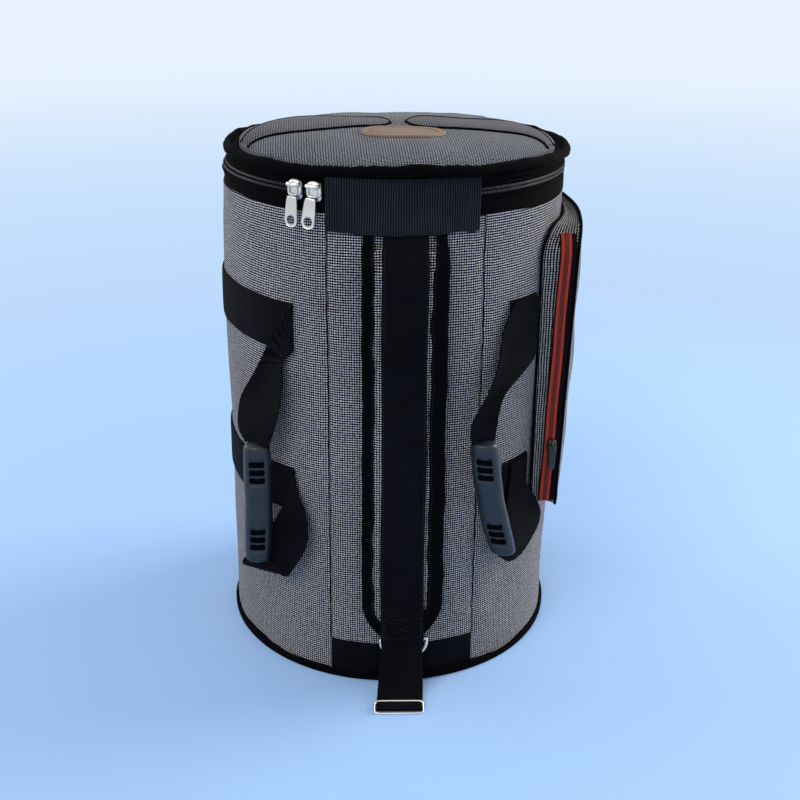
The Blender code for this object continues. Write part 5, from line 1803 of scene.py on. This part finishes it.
def build_grip(side, top, bottom, bow, facing):
    """The tube between two ends (degrees from the front, height), and the dark bars in its windows."""
    top, bottom = (on_wall(radians(degrees), height, GRIP_OUTSET) for degrees, height in (top, bottom))
    share, turn = np.meshgrid(np.linspace(0.0, 1.0, 180), full_turn(72), indexing="ij")
    rings, across, out = grip_surface(top, bottom, bow, share, turn, radians(facing))
    body = side + "_handle"
    dress(sweep(side + "_grip_tube", RUBBER, rings), body, "rubber", side + "_grip")
    down = unit(bottom - top)
    length = np.linalg.norm(bottom - top)
    spots = [window + step for window in WINDOWS for step in (-BAR_STEP, 0.0, BAR_STEP)]
    for number, spot in enumerate(spots):
        centre = top + down * spot * length + across * bow * sin(pi * spot) + out * (GRIP_HALF_DEPTH * 0.865)
        bar = domed_plate(side + "_grip_bar_" + str(number), SLOT_RUBBER, centre, (across, down, out),
                          (0.0064, 0.0026, 0.0010), 0.40)
        dress(bar, body, "rubber")


build_grip("left", top=(-44.6, 0.2150), bottom=(-46.0, 0.1050), bow=0.0010, facing=-4.0)
build_grip("right", top=(22.5, 0.2275), bottom=(31.4, 0.1190), bow=-0.0030, facing=-14.0)
print("grips moulded")

# %% [markdown]
# ## Side pocket
#
# The pocket is a flat box of tweed on the bag's side: a gusset all round, a full face, a round binding
# over the seam between them, and a zip up the front gusset in two reds. Its outline is a rectangle with
# rounded corners, given as places and inward directions, and every piece is carried round that.

# %% Pocket outline and depths
POCKET_HALF = 0.0900
POCKET_LOW, POCKET_HIGH = 0.1365, 0.3810
POCKET_MIDDLE, POCKET_RISE = (POCKET_LOW + POCKET_HIGH) / 2, (POCKET_HIGH - POCKET_LOW) / 2
POCKET_STEP = 0.0022
POCKET_REACH = 0.137973
POCKET_BULGE = 0.0180
POCKET_CORNERS = ((-1, 1, 0.024, pi), (1, 1, 0.024, pi / 2), (1, -1, 0.010, 0.0), (-1, -1, 0.004, -pi / 2))


def pocket_path():
    """Places (y, z) and inward directions round the pocket at even steps, clockwise from the front."""
    rows = []
    for side_y, side_z, radius, start in POCKET_CORNERS:
        turn = start - np.linspace(0.0, pi / 2, 24)
        y = side_y * (POCKET_HALF - radius) + radius * np.cos(turn)
        z = POCKET_MIDDLE + side_z * (POCKET_RISE - radius) + radius * np.sin(turn)
        rows.append(np.column_stack([y, z, -np.cos(turn), -np.sin(turn)]))
    rows = np.concatenate(rows + [rows[0][:1]])
    run = running_length(rows[:, :2])
    even = read_at(rows, run, np.arange(int(run[-1] / POCKET_STEP)) * POCKET_STEP)
    even[:, 2:] = unit(even[:, 2:])
    return even


def leaning(z):
    """How much further the pocket stands out at a height than low down."""
    return 0.022 * (z - 0.21)


def pocket_front(y, z):
    """How far out the pocket's face lies: fullest along its middle, with slow waves on it."""
    level = (z - POCKET_MIDDLE) / POCKET_RISE
    full = (1.0 - (y / POCKET_HALF) ** 2) * (1.0 - 0.25 * level ** 4)
    waves = 0.0010 * np.sin(36 * y + 24 * z) * np.sin(41 * z + 1.0) + 0.0005 * np.sin(90 * z + 60 * y)
    return POCKET_REACH + leaning(z) + POCKET_BULGE * full + waves * limited(full * 2.0)


def pocket_foot(y, z):
    """Where the bag's wall lies at a place on the pocket's side."""
    return np.sqrt((wall_radius(pi / 2, z) + 0.0009) ** 2 - y ** 2)


PATH = pocket_path()


def build_gusset():
    """The pocket's side, from the wall to the face, hollowed a little between its seams."""
    y, z, in_y, in_z = PATH.T
    share = np.linspace(0.0, 1.0, 18)[:, None]
    dip = 0.0012 * np.sin(pi * share) * (1 + 0.5 * np.sin(y * 70 + z * 55))
    dip = np.maximum(dip + 0.0006 * np.sin(z * 130 + 3 * share), 0.0)
    layers = []
    for inset in (0.0, FABRIC):
        draw = inset + dip * np.sin(pi * share) ** 0.5
        place_y, place_z = y + in_y * draw, z + in_z * draw
        foot, edge = pocket_foot(place_y, place_z), pocket_front(y, z) - 0.0006
        layers.append(np.stack([foot + (edge - foot) * share, place_y, place_z], axis=-1))
    piece = shell("pocket_side_cloth", TWEED_POCKET, *layers, wrap=True)
    dress(piece, "body", "grey_tweed", "pocket_front_gusset", "pocket_top_gusset", "pocket_rear_gusset",
          "pocket_bottom_gusset")


def build_pocket_face():
    """The face: rings of the outline drawn in to its middle."""
    middle = np.array([0.0, POCKET_MIDDLE])
    share = np.concatenate([np.linspace(0.02, 0.94, 34), [0.96, 0.975, 0.99, 1.0]])[:, None, None]
    place = middle + (PATH[:, :2] - middle) * share
    y, z = place[..., 0], place[..., 1]
    edge = 0.0012 * np.exp(-((1 - share[..., 0]) / 0.02) ** 2)
    front = np.stack([pocket_front(y, z) + FABRIC - edge, y, z], axis=-1)
    back = np.stack([pocket_front(y, z) - edge, y, z], axis=-1)
    face = shell("pocket_face_cloth", TWEED, front, back, wrap=True, pole=True, places=closed_rings(place))
    dress(face, "body", "grey_tweed", "pocket_face")


def pocket_cord(name, reach, depth, radius, sides, *nodes):
    """A cord in black binding round the pocket's outline, at a reach and a little depth in front of it."""
    y, z, in_y, in_z = PATH.T
    line = np.stack([reach(y, z) + depth, y - in_y * 0.0006, z - in_z * 0.0006], axis=-1)
    cord = tube(name, BLACK_BINDING, line, radius, sides=sides, closed=True, up=ASIDE)
    dress(cord, "body", "black_binding", *nodes)


build_gusset()
build_pocket_face()
pocket_cord("pocket_edge_cord", pocket_front, 0.0008, 0.0013, 14, "pocket_binding")
# A black cord where the pocket's side meets the wall: painted shade in that joint.
pocket_cord("pocket_wall_shade_cord", pocket_foot, 0.0010, 0.0011, 10)
print("pocket sewn")

# %% [markdown]
# The pocket's zip lies flat on the front gusset: a dark red tape, two raised orange-red stripes, and a
# dark red coil between them. A black slider sits on it a third of the way up.

# %% Pocket zip
TAPE_LIFT = 0.0003
STRIPE_LIFT = TAPE_LIFT + 0.0008
TOOTH_LIFT = TAPE_LIFT + 0.0016
TOOTH_ROWS = ((0.12855, 0.1420), (0.12985, 0.1428))
RED_PITCH = 0.0016
ZIP_START, ZIP_BEND = 0.1415, 0.021


def zip_line(start=ZIP_START):
    """Places (y, z) and outward directions at even steps up the gusset and into its rounded top corner."""
    radius = POCKET_CORNERS[0][2]
    straight = POCKET_HIGH - radius
    run = np.arange(start, straight + ZIP_BEND, RED_PITCH)
    turn = np.clip((run - straight) / radius, 0.0, None)
    place = np.stack([-(POCKET_HALF - radius) - radius * np.cos(turn),
                      np.minimum(run, straight) + radius * np.sin(turn)], axis=1)
    return place, np.stack([-np.cos(turn), np.sin(turn)], axis=1)


def zip_strip(name, material, low_x, high_x, lift, thick, slot, *nodes):
    """A long strip up the gusset between two reaches, its face rounded at both sides."""
    place, out = zip_line()
    share = np.array([0.0, 0.08, 0.25, 0.5, 0.75, 0.92, 1.0])[:, None]
    x = low_x + (high_x - low_x) * share + 0.00025 * np.sin(place[:, 1] * 75) + leaning(place[:, 1])
    crown = thick * (0.55 + 0.45 * np.sin(pi * np.clip(share, 0.02, 0.98)) ** 0.5)
    layers = [np.concatenate([x[..., None], place + out * height[..., None]], axis=-1)
              for height in (lift + crown, lift + 0 * crown)]
    return dress(shell(name, material, *layers), "body", slot, *nodes)


zip_strip("pocket_tape_cloth", BORDER_TAPE, 0.1238, 0.1376, TAPE_LIFT, 0.0009, "red_tape", "pocket_zip_tape")
zip_strip("pocket_stripe_inner", RED_TAPE, 0.1250, 0.1274, STRIPE_LIFT, 0.0009, "red_tape")
zip_strip("pocket_stripe_outer", RED_TAPE, 0.1310, 0.1333, STRIPE_LIFT, 0.0009, "red_tape")
zip_strip("pocket_coil_bed", RED_COIL, 0.1276, 0.1308, STRIPE_LIFT, 0.0005, "red_coil")


def build_pocket_coil():
    """Two rows of teeth that mesh along the middle of the tape."""
    rows = []
    for x, start in TOOTH_ROWS:
        place, out = zip_line(start)
        flat = place + out * TOOTH_LIFT
        rows.append(np.column_stack([x + leaning(flat[:, 1]), flat, out]))
    rows = np.concatenate(rows)
    origins, up = rows[:, :3], np.column_stack([0 * rows[:, 0], rows[:, 3:]])
    ahead = unit(np.column_stack([np.ones(len(rows)), 0.18 * -up[:, 2], 0.18 * -up[:, 1]]))
    piece = scatter("pocket_coil", RED_COIL, pill(0.0019, 0.0010, 0.0011), origins, ahead, up)
    dress(piece, "body", "red_coil", "pocket_zip_teeth")


build_pocket_coil()

# %% Pocket slider and pull


def build_pocket_slider():
    """A small black cap with a bridge, and a plain tab that hangs from it."""
    forward = np.array([0.0, -1.0, 0.0])
    seat = np.array([0.1304, -0.0931, 0.1950])
    axes = (ASIDE, UP, forward)
    cap = domed_plate("pocket_slider_cap", BLACK_METAL, seat, axes, (0.0042, 0.0056, 0.0029), 0.5, taper=0.15)
    dress(cap, "pocket_slider", "black_metal", "pocket_slider")
    line = arch_line(seat + forward * 0.0022, UP, 0.0042, forward, 0.0032, 16)
    bridge = tube("pocket_slider_bridge", BLACK_METAL, line, 0.0008, sides=8, up=ASIDE)
    dress(bridge, "pocket_slider", "black_metal")
    top = np.array([0.1304, -0.0972, 0.1970])
    tab = domed_plate("pocket_pull_tab", BLACK_METAL, top - UP * 0.0118 + forward * 0.0001, axes,
                      (0.0030, 0.0108, 0.0013), 0.35, taper=-0.1)
    dress(tab, "pocket_pull", "black_metal", "pocket_pull")


build_pocket_slider()
print("pocket zip fitted")
